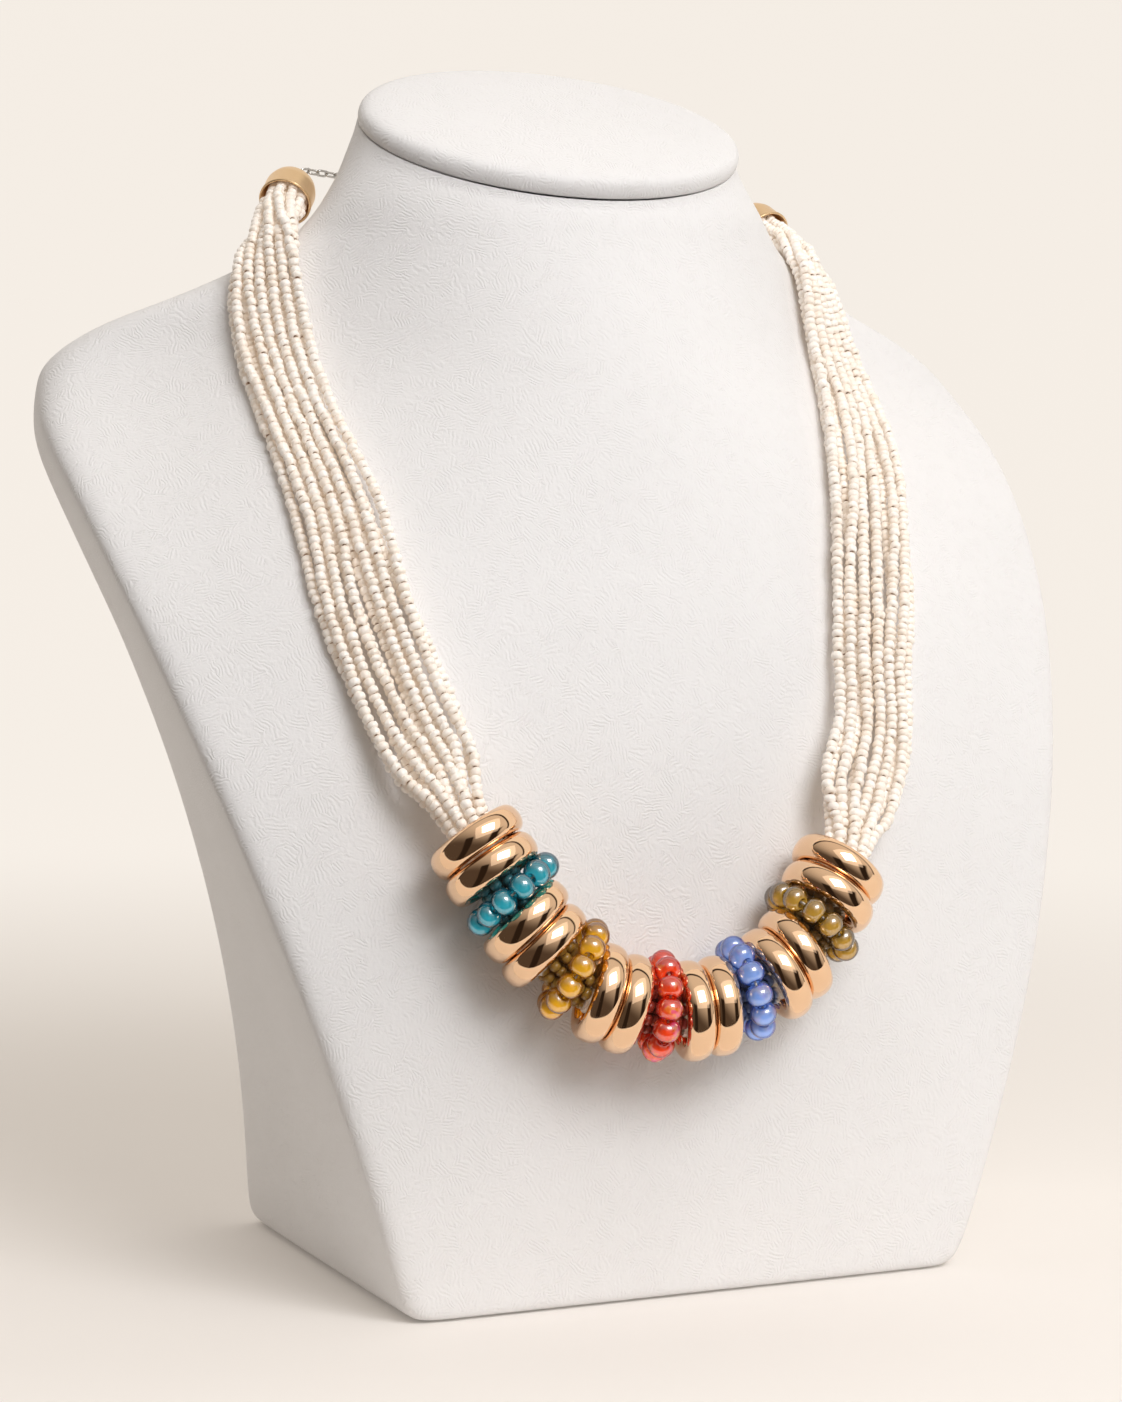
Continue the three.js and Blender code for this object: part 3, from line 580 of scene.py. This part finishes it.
def tube_path(node, ring_reach):
    """Points along the middle of a swept CAD tube, from the middles of its rings of corners."""
    bm = welded(node)
    bm.verts.index_update()
    group = list(range(len(bm.verts)))

    def root(i):
        while group[i] != i:
            i = group[i]
        return i

    long_edges = []
    for edge in bm.edges:
        a, b = (v.index for v in edge.verts)
        if edge.calc_length() < ring_reach:
            group[root(a)] = root(b)
        else:
            long_edges.append((a, b))
    rings = {}
    for v in bm.verts:
        rings.setdefault(root(v.index), []).append(v.co.copy())
    middles = {key: sum(points, Vector()) / len(points) for key, points in rings.items()}
    beside = {key: set() for key in rings}
    for a, b in long_edges:
        if root(a) != root(b):
            beside[root(a)].add(root(b))
            beside[root(b)].add(root(a))
    bm.free()
    ends = sorted((key for key in beside if len(beside[key]) == 1), key=lambda k: middles[k].x)
    at, seen, path = ends[0], set(), []
    while at is not None:
        seen.add(at)
        path.append(middles[at])
        at = next((key for key in beside[at] if key not in seen), None)
    return np.array(path)


class Path:
    """A smooth curve through points, read by the length along it."""

    def __init__(self, points, fine=16):
        p = np.vstack([2 * points[0] - points[1], points, 2 * points[-1] - points[-2]])
        t = np.linspace(0, 1, fine, endpoint=False)[:, None]
        parts = []
        for a, b, c, d in zip(p[:-3], p[1:-2], p[2:-1], p[3:]):
            cubic = -a + 3 * b - 3 * c + d
            square = 2 * a - 5 * b + 4 * c - d
            parts.append(b + 0.5 * ((c - a) * t + square * t**2 + cubic * t**3))
        self.points = np.vstack(parts + [points[-1:]])
        steps = np.linalg.norm(np.diff(self.points, axis=0), axis=1)
        self.at = np.concatenate([[0], np.cumsum(steps)])
        self.length = self.at[-1]

    def point(self, s):
        """Where the curve is at each length along it."""
        return np.stack([np.interp(s, self.at, self.points[:, k]) for k in range(3)], axis=-1)

    def direction(self, s, reach=0.4 * MM):
        """Which way the curve runs there, taken over a short reach to both sides."""
        ahead = self.point(np.minimum(s + reach, self.length))
        return unit(ahead - self.point(np.maximum(s - reach, 0)))


def unit(v):
    """Vectors of length one in the same directions."""
    return v / np.linalg.norm(v, axis=-1, keepdims=True)


def across(along, hint):
    """Two directions square to each given one and to each other."""
    side = unit(np.cross(along, hint))
    return side, np.cross(along, side)


# ---- bust ----


LIP = 0.45 * MM  # how far the leatherette rolls over the neck's top edge
SEAM_RISE = 1.0 * MM  # the seam under the pad is drawn this far above the CAD's, as it looks
CUT_CLEAR = 0.05 * MM  # a point this far below the neck's cut is still on its side
NECK_PARTS = (0.12, 0.25, 0.4, 0.55, 0.7, 0.83, 0.93)  # rows up the neck, as parts of its height
NECK_REACH = 60 * MM  # the neck's top edge is nearer than this above the last level row


def neck_cut(bm):
    """Middle and upward direction of the tilted plane that the neck ends at."""
    top = max(bm.faces, key=lambda f: f.calc_area() if f.normal.z > 0.3 else 0)
    return top.calc_center_median(), top.normal.copy()


def body_rows(node):
    """The bust's skin as level rows of points in the same columns, and the plane of the cut."""
    bm = welded(node)
    bmesh.ops.dissolve_limit(bm, angle_limit=math.radians(0.2), verts=bm.verts, edges=bm.edges)
    middle, normal = neck_cut(bm)
    bm.free()
    levels = {}
    for x, y, z in corners(node):
        levels.setdefault(round(z, 5), []).append((x, y, z))
    sizes = [len(row) for row in levels.values()]
    full = max((size for size in sizes if size > 8), key=sizes.count)
    rows = []
    for level in sorted(levels):
        row = np.array(levels[level])
        if len(row) < full:
            continue
        spread = np.linalg.norm(row - row.mean(axis=0), axis=1)
        row = row[np.argsort(-spread)[:full]]
        middle_y = (row[:, 1].min() + row[:, 1].max()) / 2
        row = row[np.argsort(np.arctan2(row[:, 1] - middle_y, row[:, 0]))]
        if rows:
            turns = [np.roll(row, k, axis=0) for k in range(full)]
            row = min(turns, key=lambda turned: np.abs(turned - rows[-1]).sum())
        rows.append(row)
    return rows, np.array(middle), np.array(normal)


def build_bust(leather):
    """The bust's leatherette, rounded between the CAD's rows up to the rolled edge of the neck."""
    rows, middle, normal = body_rows("bust_body")
    surface = BVHTree.FromObject(NODES["bust_body"], bpy.context.evaluated_depsgraph_get())
    last = rows[-1]
    hub = np.array([0.0, (last[:, 1].min() + last[:, 1].max()) / 2, 0.0])

    def plane_height(x, y):
        """How high the neck's cut is over a place."""
        return middle[2] - (normal[0] * (x - middle[0]) + normal[1] * (y - middle[1])) / normal[2]

    def skin(column, z):
        """Where the neck's side is at a height, seen from outside, or None above the cut."""
        outward = unit(np.array([column[0] - hub[0], column[1] - hub[1], 0.0]))
        start = np.array([hub[0], hub[1], z]) + outward * 0.3
        hit = surface.ray_cast(Vector(start), Vector(-outward))[0]
        if hit is None or np.dot(np.array(hit) - hub, outward) < 0:
            return None
        return np.array(hit) if z < plane_height(hit[0], hit[1]) - CUT_CLEAR else None

    tops = []
    for column in last:
        low, high = column[2], column[2] + NECK_REACH
        for _ in range(20):
            z = (low + high) / 2
            low, high = (z, high) if skin(column, z) is not None else (low, z)
        tops.append(skin(column, low))
    tops = np.array(tops)
    # where the neck's top would stick out past the pad, it is pulled in under it
    oval = pad_oval(normal)
    offset = tops - oval["middle"] - normal * ((tops - oval["middle"]) @ normal)[:, None]
    reach = np.hypot(offset[:, 0] / oval["half_wide"], offset @ oval["deep"] / oval["half_deep"])
    pull = -offset * np.clip(1 - 1.002 / reach, 0, 1)[:, None]
    upper = []
    for part in NECK_PARTS:
        row = [skin(c, c[2] + part * (t[2] - LIP - c[2])) for c, t in zip(last, tops)]
        upper.append(np.array(row) + pull * part**2)
    tops = tops + pull + normal * SEAM_RISE
    hub_top = np.array([hub[0], hub[1], plane_height(hub[0], hub[1])])
    inward = unit((hub_top - tops) * (1, 1, 0))
    upper.append(tops - normal * LIP)
    upper.append(tops - normal * LIP * 0.3 + inward * LIP * 0.3)
    upper.append(tops + inward * LIP)
    upper.append(tops + inward * 12 * MM)
    grid = rows + [np.array(row) for row in upper]
    columns = len(last)
    verts = np.vstack(grid)
    faces = grid_faces(len(grid), columns)
    faces.append(tuple(reversed(range(columns))))
    faces.append(tuple(len(verts) - columns + k for k in range(columns)))
    coarse = mesh_of("bust_coarse", verts, faces)
    body = subdivided("bust_leatherette", coarse, 2, crease_over=60)
    new_piece("bust_leatherette", body, [leather], "bust_body")
    build_pad(leather, normal)


# the pad from its underside to its middle: part of its half-width, and part of its thickness
PAD_PROFILE = [
    {"out": 0.975, "up": 0.066},
    {"out": 0.992, "up": 0.08},
    {"out": 1.000, "up": 0.15},
    {"out": 1.003, "up": 0.28},
    {"out": 0.999, "up": 0.40},
    {"out": 0.988, "up": 0.51},
    {"out": 0.968, "up": 0.59},
    {"out": 0.938, "up": 0.64},
    {"out": 0.870, "up": 0.685},
    {"out": 0.700, "up": 0.745},
    {"out": 0.400, "up": 0.79},
    {"out": 0.150, "up": 0.80},
]


def pad_oval(normal):
    """The pad's middle, half-sizes and thickness, measured along its own tilted directions."""
    points = corners("neck_cap_pad")
    deep = unit(np.cross(normal, np.array([1.0, 0.0, 0.0])))
    level, reach = points @ normal, points @ deep
    return {
        "deep": deep,
        "half_wide": np.abs(points[:, 0]).max(),
        "half_deep": (reach.max() - reach.min()) / 2,
        "middle": deep * (reach.max() + reach.min()) / 2 + normal * level.min(),
        "thick": level.max() - level.min(),
    }


def build_pad(leather, normal, around=96):
    """The padded oval that closes the neck, softer at its top edge than at its underside."""
    pad = pad_oval(normal)
    turn = np.arange(around) * 2 * math.pi / around
    sideways = np.outer(np.cos(turn), [pad["half_wide"], 0, 0])
    oval = sideways + np.outer(np.sin(turn), pad["deep"]) * pad["half_deep"]
    rise = normal * pad["thick"]
    rows = [pad["middle"] + rise * row["up"] + oval * row["out"] for row in PAD_PROFILE]
    faces = grid_faces(len(rows), around)
    last = (len(rows) - 1) * around
    faces += [tuple(reversed(range(around))), tuple(last + k for k in range(around))]
    coarse = mesh_of("pad_coarse", np.vstack(rows), faces)
    mesh = subdivided("neck_cap_leatherette", coarse, 1, crease_over=80)
    new_piece("neck_cap_leatherette", mesh, [leather], "neck_cap_pad")


# ---- strands of seed beads ----

# a seed bead from hole to hole: place along it, radius, and whether it is inside the hole
SEED_PROFILE = [
    {"along": -0.50, "out": 0.28, "hole": 1},
    {"along": -0.94, "out": 0.46, "hole": 0.15},
    {"along": -0.84, "out": 0.71, "hole": 0},
    {"along": -0.48, "out": 0.925, "hole": 0},
    {"along": 0.00, "out": 1.00, "hole": 0},
    {"along": 0.48, "out": 0.925, "hole": 0},
    {"along": 0.84, "out": 0.71, "hole": 0},
    {"along": 0.94, "out": 0.46, "hole": 0.15},
    {"along": 0.50, "out": 0.28, "hole": 1},
]
SEED_SIDES = 10
SEED_LENGTH = (1.45 * MM, 2.05 * MM)
SEED_RADIUS = (1.16 * MM, 1.38 * MM)
SEED_TILT = 0.13  # how far a bead leans, in radians
SEED_SWAY = 0.12 * MM
SEED_OVAL = 0.05
SEED_WEDGE = 0.10  # how much longer a bead is on one side than on the other
SEED_FULL = 0.53  # half of a bead's length, and a little more, so that neighbours touch
THREAD = {"radius": 0.28 * MM, "sides": 6, "step": 1.5 * MM}
STRAND_RING_REACH = 2.5 * MM  # corners nearer than this are in one ring of a strand's CAD tube


def seed_beads(path, rng):
    """All the beads of one strand as arrays: corners, how deep in a hole, and a tone for each."""
    lengths = []
    while sum(lengths) < path.length:
        lengths.append(rng.uniform(*SEED_LENGTH))
    lengths = np.array(lengths) * path.length / sum(lengths)
    count = len(lengths)
    middle = np.cumsum(lengths) - lengths / 2
    along = path.direction(middle)
    side, up = across(along, np.array([0.3, 0.2, 1.0]))
    centre = path.point(middle)
    sway = [rng.normal(0, SEED_SWAY, (count, 1)) for _ in range(2)]
    centre += side * sway[0] + up * sway[1]
    lean = rng.normal(0, SEED_TILT, (count, 2))
    along = unit(along + side * lean[:, :1] + up * lean[:, 1:])
    side, up = across(along, np.array([0.3, 0.2, 1.0]))
    radius = rng.uniform(*SEED_RADIUS, count)
    oval = 1 + rng.uniform(-SEED_OVAL, SEED_OVAL, count)
    wedge = rng.uniform(-SEED_WEDGE, SEED_WEDGE, count)
    turn = rng.uniform(0, 2 * math.pi, count)[:, None]
    turn = turn + np.arange(SEED_SIDES) * 2 * math.pi / SEED_SIDES
    cos, sin = np.cos(turn)[:, None, :], np.sin(turn)[:, None, :]
    x = np.array([row["along"] for row in SEED_PROFILE])[None, :, None]
    r = np.array([row["out"] for row in SEED_PROFILE])[None, :, None]
    slant = np.sign(x) * wedge[:, None, None] * r * cos
    shift = (x + slant) * lengths[:, None, None] * SEED_FULL
    reach_side = r * cos * (radius * oval)[:, None, None]
    reach_up = r * sin * (radius / oval)[:, None, None]
    verts = (
        centre[:, None, None, :]
        + along[:, None, None, :] * shift[..., None]
        + side[:, None, None, :] * reach_side[..., None]
        + up[:, None, None, :] * reach_up[..., None]
    )
    hole = np.array([row["hole"] for row in SEED_PROFILE])[None, :, None]
    hole = np.broadcast_to(hole, shift.shape)
    tone = np.broadcast_to(rng.uniform(0, 1, count)[:, None, None], shift.shape)
    return verts.reshape(-1, 3), hole.ravel(), tone.ravel(), count


def thread_rings(path):
    """Corners of a thin round thread along a path, ring after ring, and how many rings."""
    s = np.linspace(0, path.length, max(2, int(path.length / THREAD["step"])))
    along = path.direction(s)
    side, up = across(along, np.array([0.3, 0.2, 1.0]))
    turn = np.arange(THREAD["sides"]) * 2 * math.pi / THREAD["sides"]
    cos, sin = np.cos(turn)[None, :, None], np.sin(turn)[None, :, None]
    verts = path.point(s)[:, None] + THREAD["radius"] * (side[:, None] * cos + up[:, None] * sin)
    return verts.reshape(-1, 3), len(s)


# how far along its axis a glass ring paints shade, tinted with its colour, on the beads inside it,
# and how strongly
RING_SHADE_REACH = 5.5 * MM
RING_SHADE = {"light": 0.4, "amount": 0.97}


def painted_ring_shade_colours(points, rings):
    """The painted shade, tinted with the glass's colour, that each point takes from a glass ring
    round it, and how much of it.
    """
    colours = np.zeros((len(points), 4))
    for colour, ring in rings.items():
        offset = points - ring["centre"]
        height = offset @ ring["axis"]
        inside = np.linalg.norm(offset - height[:, None] * ring["axis"], axis=1) < ring["middle"]
        near = inside & (np.abs(height) < RING_SHADE_REACH)
        light = np.array(GLASS[colour]["light"][:3]) * RING_SHADE["light"]
        colours[near] = [*light, RING_SHADE["amount"]]
    return colours


def build_strands(bead_material, thread):
    """Every strand as separate seed beads on a thread, along the middle of its CAD tube."""
    rng = np.random.default_rng(11)
    shade_rings = {node.replace("bead_ring_", ""): ring_frame(node) for node in GLASS_NODES}
    per_bead = len(SEED_PROFILE) * SEED_SIDES
    for node in STRAND_NODES:
        path = Path(tube_path(node, STRAND_RING_REACH))
        verts, hole, tone, count = seed_beads(path, rng)
        faces = []
        for k in range(count):
            faces += grid_faces(len(SEED_PROFILE), SEED_SIDES, k * per_bead, wrap_rows=True)
        core, rings = thread_rings(path)
        sides = THREAD["sides"]
        bead_faces = len(faces)
        faces += grid_faces(rings, sides, len(verts))
        first, last = len(verts), len(verts) + (rings - 1) * sides
        faces.append(tuple(first + k for k in reversed(range(sides))))
        faces.append(tuple(last + k for k in range(sides)))
        name = node.replace("strand", "seed_beads")
        mesh = mesh_of(name, np.vstack([verts, core]), faces)
        flat = np.zeros(len(core))
        set_attribute(mesh, "hole", np.concatenate([hole, flat]))
        set_attribute(mesh, "tone", np.concatenate([tone, flat]))
        set_colours(mesh, "cast", painted_ring_shade_colours(np.vstack([verts, core]), shade_rings))
        second_material_from(mesh, bead_faces, len(faces))
        new_piece(name, mesh, [bead_material, thread], node)


# ---- rings ----


def ring_frame(node):
    """Middle, axis, mean radius and half-sizes of the section of a ring-shaped CAD node.

    Its corners come too: their places across the axis, and how far from it they are.
    """
    points = corners(node)
    centre = points.mean(0)
    axis = np.linalg.eigh(np.cov((points - centre).T))[1][:, 0]
    offset = points - centre
    height = offset @ axis
    flat = offset - height[:, None] * axis
    reach = np.linalg.norm(flat, axis=1)
    outer, inner = reach.max(), reach.min()
    return {
        "centre": centre,
        "axis": axis,
        "middle": (outer + inner) / 2,
        "radial": (outer - inner) / 2,
        "axial": np.abs(height).max(),
        "flat": flat,
        "reach": reach,
    }


GOLD_FULLNESS = 2.15  # 2 is an oval section, more is squarer
GOLD_SWELL = 0.06 * MM


def build_gold_ring(node, gold, around=96, section=36):
    """A gold ring with a full oval section, on the CAD ring's middle and axis."""
    ring = ring_frame(node)
    u, v = across(ring["axis"], np.array([0.2, 1.0, 0.1]))
    turn = np.arange(around)[:, None] * 2 * math.pi / around
    roll = np.arange(section)[None, :] * 2 * math.pi / section
    outward = np.cos(turn)[..., None] * u + np.sin(turn)[..., None] * v
    full = 2 / GOLD_FULLNESS
    cos, sin = np.cos(roll), np.sin(roll)
    reach = ring["middle"] + ring["radial"] * np.sign(cos) * np.abs(cos) ** full
    height = (ring["axial"] + GOLD_SWELL) * np.sign(sin) * np.abs(sin) ** full
    verts = ring["centre"] + outward * reach[..., None] + ring["axis"] * height[..., None]
    name = "polished_" + node
    mesh = mesh_of(name, verts.reshape(-1, 3), grid_faces(around, section, wrap_rows=True))
    new_piece(name, mesh, [gold], node)


GLASS_COUNT = 12
GLASS_R = 2.85 * MM
GLASS_INSET = 2.7 * MM  # from the CAD ring's outermost corner to the thread
GLASS_HOLE = 0.42 * MM
GLASS_EDGE = 0.985  # where the round side stops at the hole, as part of the half-length
GLASS_ROUND = 0.86  # 1 is a ball's side, less is fuller
GLASS_THREAD = {"around": 72, "sides": 6, "fill": 0.7}


def glass_profile(half, steps=13):
    """A glass bead's section from one end of its hole over its round side to the other."""
    rows = []
    for k in range(steps):
        turn = math.asin(GLASS_EDGE) * (-1 + 2 * k / (steps - 1))
        swell = (GLASS_R - GLASS_HOLE) * math.cos(turn) ** GLASS_ROUND
        rows.append((half * math.sin(turn), GLASS_HOLE + swell))
    return np.array(rows)


def build_glass_ring(node, glass, thread, sides=26):
    """Glass beads threaded in a ring, turned so that they lie where the CAD ring's do."""
    ring = ring_frame(node)
    u, v = across(ring["axis"], np.array([0.2, 1.0, 0.1]))
    rim = ring["flat"][ring["reach"] > ring["reach"].max() - 0.15 * MM]
    angle = np.arctan2(rim @ v, rim @ u)
    phase = np.angle(np.exp(1j * GLASS_COUNT * angle).mean()) / GLASS_COUNT
    radius = ring["reach"].max() - GLASS_INSET
    half = math.pi * radius / GLASS_COUNT
    profile = glass_profile(half)
    rng = np.random.default_rng(sum(map(ord, node)))
    roll = np.arange(sides) * 2 * math.pi / sides
    verts, faces, tone = [], [], []
    for k in range(GLASS_COUNT):
        turn = phase + 2 * math.pi * k / GLASS_COUNT + rng.normal(0, 0.012)
        outward = math.cos(turn) * u + math.sin(turn) * v
        along = np.cross(ring["axis"], outward)
        lean = rng.normal(0, 0.05)
        along = unit(along + lean * ring["axis"])
        side, up = across(along, ring["axis"])
        centre = ring["centre"] + outward * (radius + rng.normal(0, 0.06 * MM))
        size = rng.uniform(0.965, 1.03)
        x, r = profile[:, :1] * 0.995, profile[:, 1:] * size
        ringed = side * np.cos(roll)[:, None] + up * np.sin(roll)[:, None]
        bead = centre + along * x[:, :, None] + ringed[None] * r[:, :, None]
        faces += grid_faces(len(profile), sides, len(verts), wrap_rows=True)
        verts += list(bead.reshape(-1, 3))
        tone += [rng.uniform()] * (len(profile) * sides)
    bead_faces, bead_verts = len(faces), len(verts)
    around, thread_sides = GLASS_THREAD["around"], GLASS_THREAD["sides"]
    for k in range(around):
        turn = 2 * math.pi * k / around
        outward = math.cos(turn) * u + math.sin(turn) * v
        for m in range(thread_sides):
            bend = 2 * math.pi * m / thread_sides
            reach = outward * math.cos(bend) + ring["axis"] * math.sin(bend)
            reach = reach * GLASS_HOLE * GLASS_THREAD["fill"]
            verts.append(ring["centre"] + outward * radius + reach)
            tone.append(0.5)
    faces += grid_faces(around, thread_sides, bead_verts, wrap_rows=True)
    name = node.replace("bead_ring", "glass_beads")
    mesh = mesh_of(name, verts, faces)
    set_attribute(mesh, "tone", tone)
    second_material_from(mesh, bead_faces, len(faces))
    colour = node.replace("bead_ring_", "")
    new_piece(name, mesh, [glass[colour], thread], node)


# ---- end caps, chain and clasp ----


def lathe(centre, axis, profile, sides):
    """Corners and quads of a closed section turned round an axis through the centre."""
    u, v = across(axis, np.array([0.2, 1.0, 0.1]))
    turn = np.arange(sides) * 2 * math.pi / sides
    outward = u * np.cos(turn)[:, None] + v * np.sin(turn)[:, None]
    rows = [centre + axis * up + outward * out for out, up in profile]
    return np.vstack(rows), grid_faces(len(profile), sides, wrap_rows=True)


def rounded(points, radius, steps=4):
    """A closed section with each corner rounded off."""
    out = []
    n = len(points)
    for k in range(n):
        p, q, r = (np.array(points[(k + d) % n], float) for d in (-1, 0, 1))
        reach = min(radius, 0.45 * np.linalg.norm(p - q), 0.45 * np.linalg.norm(r - q))
        a, b = q + unit(p - q) * reach, q + unit(r - q) * reach
        for m in range(steps + 1):
            t = m / steps
            out.append((1 - t) ** 2 * a + 2 * t * (1 - t) * q + t**2 * b)
    return out


CAP_WALL = 0.5 * MM
CAP_PIN = 0.35 * MM  # half of the hole in the crown, where the chain's pin goes through


def build_cap(node, material, end):
    """A bell that gathers the strands, with a rolled rim and a small collar at its crown."""
    inward = []
    for strand in STRAND_NODES:
        path = tube_path(strand, STRAND_RING_REACH)
        inward.append(unit(path[0] - path[1] if end == 0 else path[-1] - path[-2]))
    axis = unit(np.mean(inward, axis=0))
    points = corners(node)
    height = points @ axis
    base = height.min()
    length = height.max() - base
    centre = points.mean(0)
    centre = centre + axis * (base - centre @ axis)
    flat = points - centre - np.outer(height - base, axis)
    r = np.linalg.norm(flat, axis=1).max()
    profile = [
        (r, 0.0),
        (r, 0.9 * MM),
        (r - 0.22 * MM, 1.2 * MM),
        (r - 0.12 * MM, 0.50 * length),
        (0.88 * r, 0.70 * length),
        (0.66 * r, 0.86 * length),
        (0.36 * r, 0.96 * length),
        (0.25 * r, length),
        (CAP_PIN, length),
        (CAP_PIN, 0.78 * length),
        (0.40 * r, 0.74 * length),
        (0.80 * r, 0.58 * length),
        (r - CAP_WALL - 0.2 * MM, 0.38 * length),
        (r - CAP_WALL, 0.0),
    ]
    section = rounded(profile, 0.5 * MM, steps=3)
    verts, faces = lathe(centre, axis, section, 64)
    name = "satin_" + node
    new_piece(name, mesh_of(name, verts, faces), [material], node)


LINK = {"length": 3.3 * MM, "width": 2.05 * MM, "wire": 0.29 * MM}
LINK_NEST = 3.4  # neighbouring links overlap by this many wire radii
CHAIN_RING_REACH = 2.2 * MM


def build_chain(node, material):
    """Fine oval links along the CAD chain, each a quarter turn from the last."""
    path = Path(tube_path(node, CHAIN_RING_REACH))
    pitch = LINK["length"] - LINK_NEST * LINK["wire"]
    count = int((path.length - LINK["length"]) / pitch) + 1
    start = (path.length - (count - 1) * pitch) / 2
    verts, faces = [], []
    around, sides = 20, 8
    wire = LINK["wire"]
    wide_half = LINK["width"] / 2 - wire
    straight = LINK["length"] / 2 - wire - wide_half
    for k in range(count):
        s = start + k * pitch
        along = path.direction(np.array([s]), reach=1.2 * MM)
        side, up = across(along, np.array([0.0, 0.0, 1.0]))
        along, side, up = along[0], side[0], up[0]
        tilt = math.radians(45 + 90 * (k % 2))
        flat = side * math.cos(tilt) + up * math.sin(tilt)
        normal = np.cross(along, flat)
        begin = len(verts)
        for m in range(around):
            turn = 2 * math.pi * m / around
            shift = straight if math.cos(turn) > 0 else -straight
            out = along * math.cos(turn) + flat * math.sin(turn)
            middle = path.point(np.array([s]))[0] + out * wide_half + along * shift
            for n in range(sides):
                bend = 2 * math.pi * n / sides
                verts.append(middle + wire * (out * math.cos(bend) + normal * math.sin(bend)))
        faces += grid_faces(around, sides, begin, wrap_rows=True)
    name = node.replace("chain", "chain_links")
    new_piece(name, mesh_of(name, verts, faces), [material], node)


def build_clasp(material):
    """The hidden clasp: a plain barrel with a groove round its middle."""
    low, high = (np.array(c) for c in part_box("clasp"))
    half = (high[0] - low[0]) / 2
    r = (high[2] - low[2]) / 2
    centre = (low + high) / 2
    groove, taper = 0.35 * MM, 1.6 * MM
    outline = [
        (0.25 * r, -half),
        (0.7 * r, -half),
        (r, -half + taper),
        (r, -groove),
        (r - groove, 0),
        (r, groove),
        (r, half - taper),
        (0.7 * r, half),
        (0.25 * r, half),
    ]
    verts, faces = lathe(centre, np.array([1.0, 0, 0]), rounded(outline, 0.4 * MM, 3), 48)
    new_piece("barrel_clasp", mesh_of("barrel_clasp", verts, faces), [material], "clasp")


# ---- all together ----

add_camera()
add_world()
bpy.context.scene.view_settings.view_transform = "Standard"
add_key_light()
add_stage()

leather = leatherette()
ivory = ivory_glass()
gold = polished_gold()
satin = satin_gold()
steel = bright_steel()
cotton = thread_material("beige_thread", (0.55, 0.40, 0.29, 1))
clear_thread = thread_material("clear_thread", (0.75, 0.70, 0.62, 1))
glass = {name: coloured_glass(name) for name in GLASS}

build_bust(leather)
build_strands(ivory, cotton)
for node in GOLD_NODES:
    build_gold_ring(node, gold)
for node in GLASS_NODES:
    build_glass_ring(node, glass, clear_thread)
for end, node in enumerate(CAP_NODES):
    build_cap(node, satin, end)
for node in CHAIN_NODES:
    build_chain(node, steel)
build_clasp(steel)

bpy.context.view_layer.update()
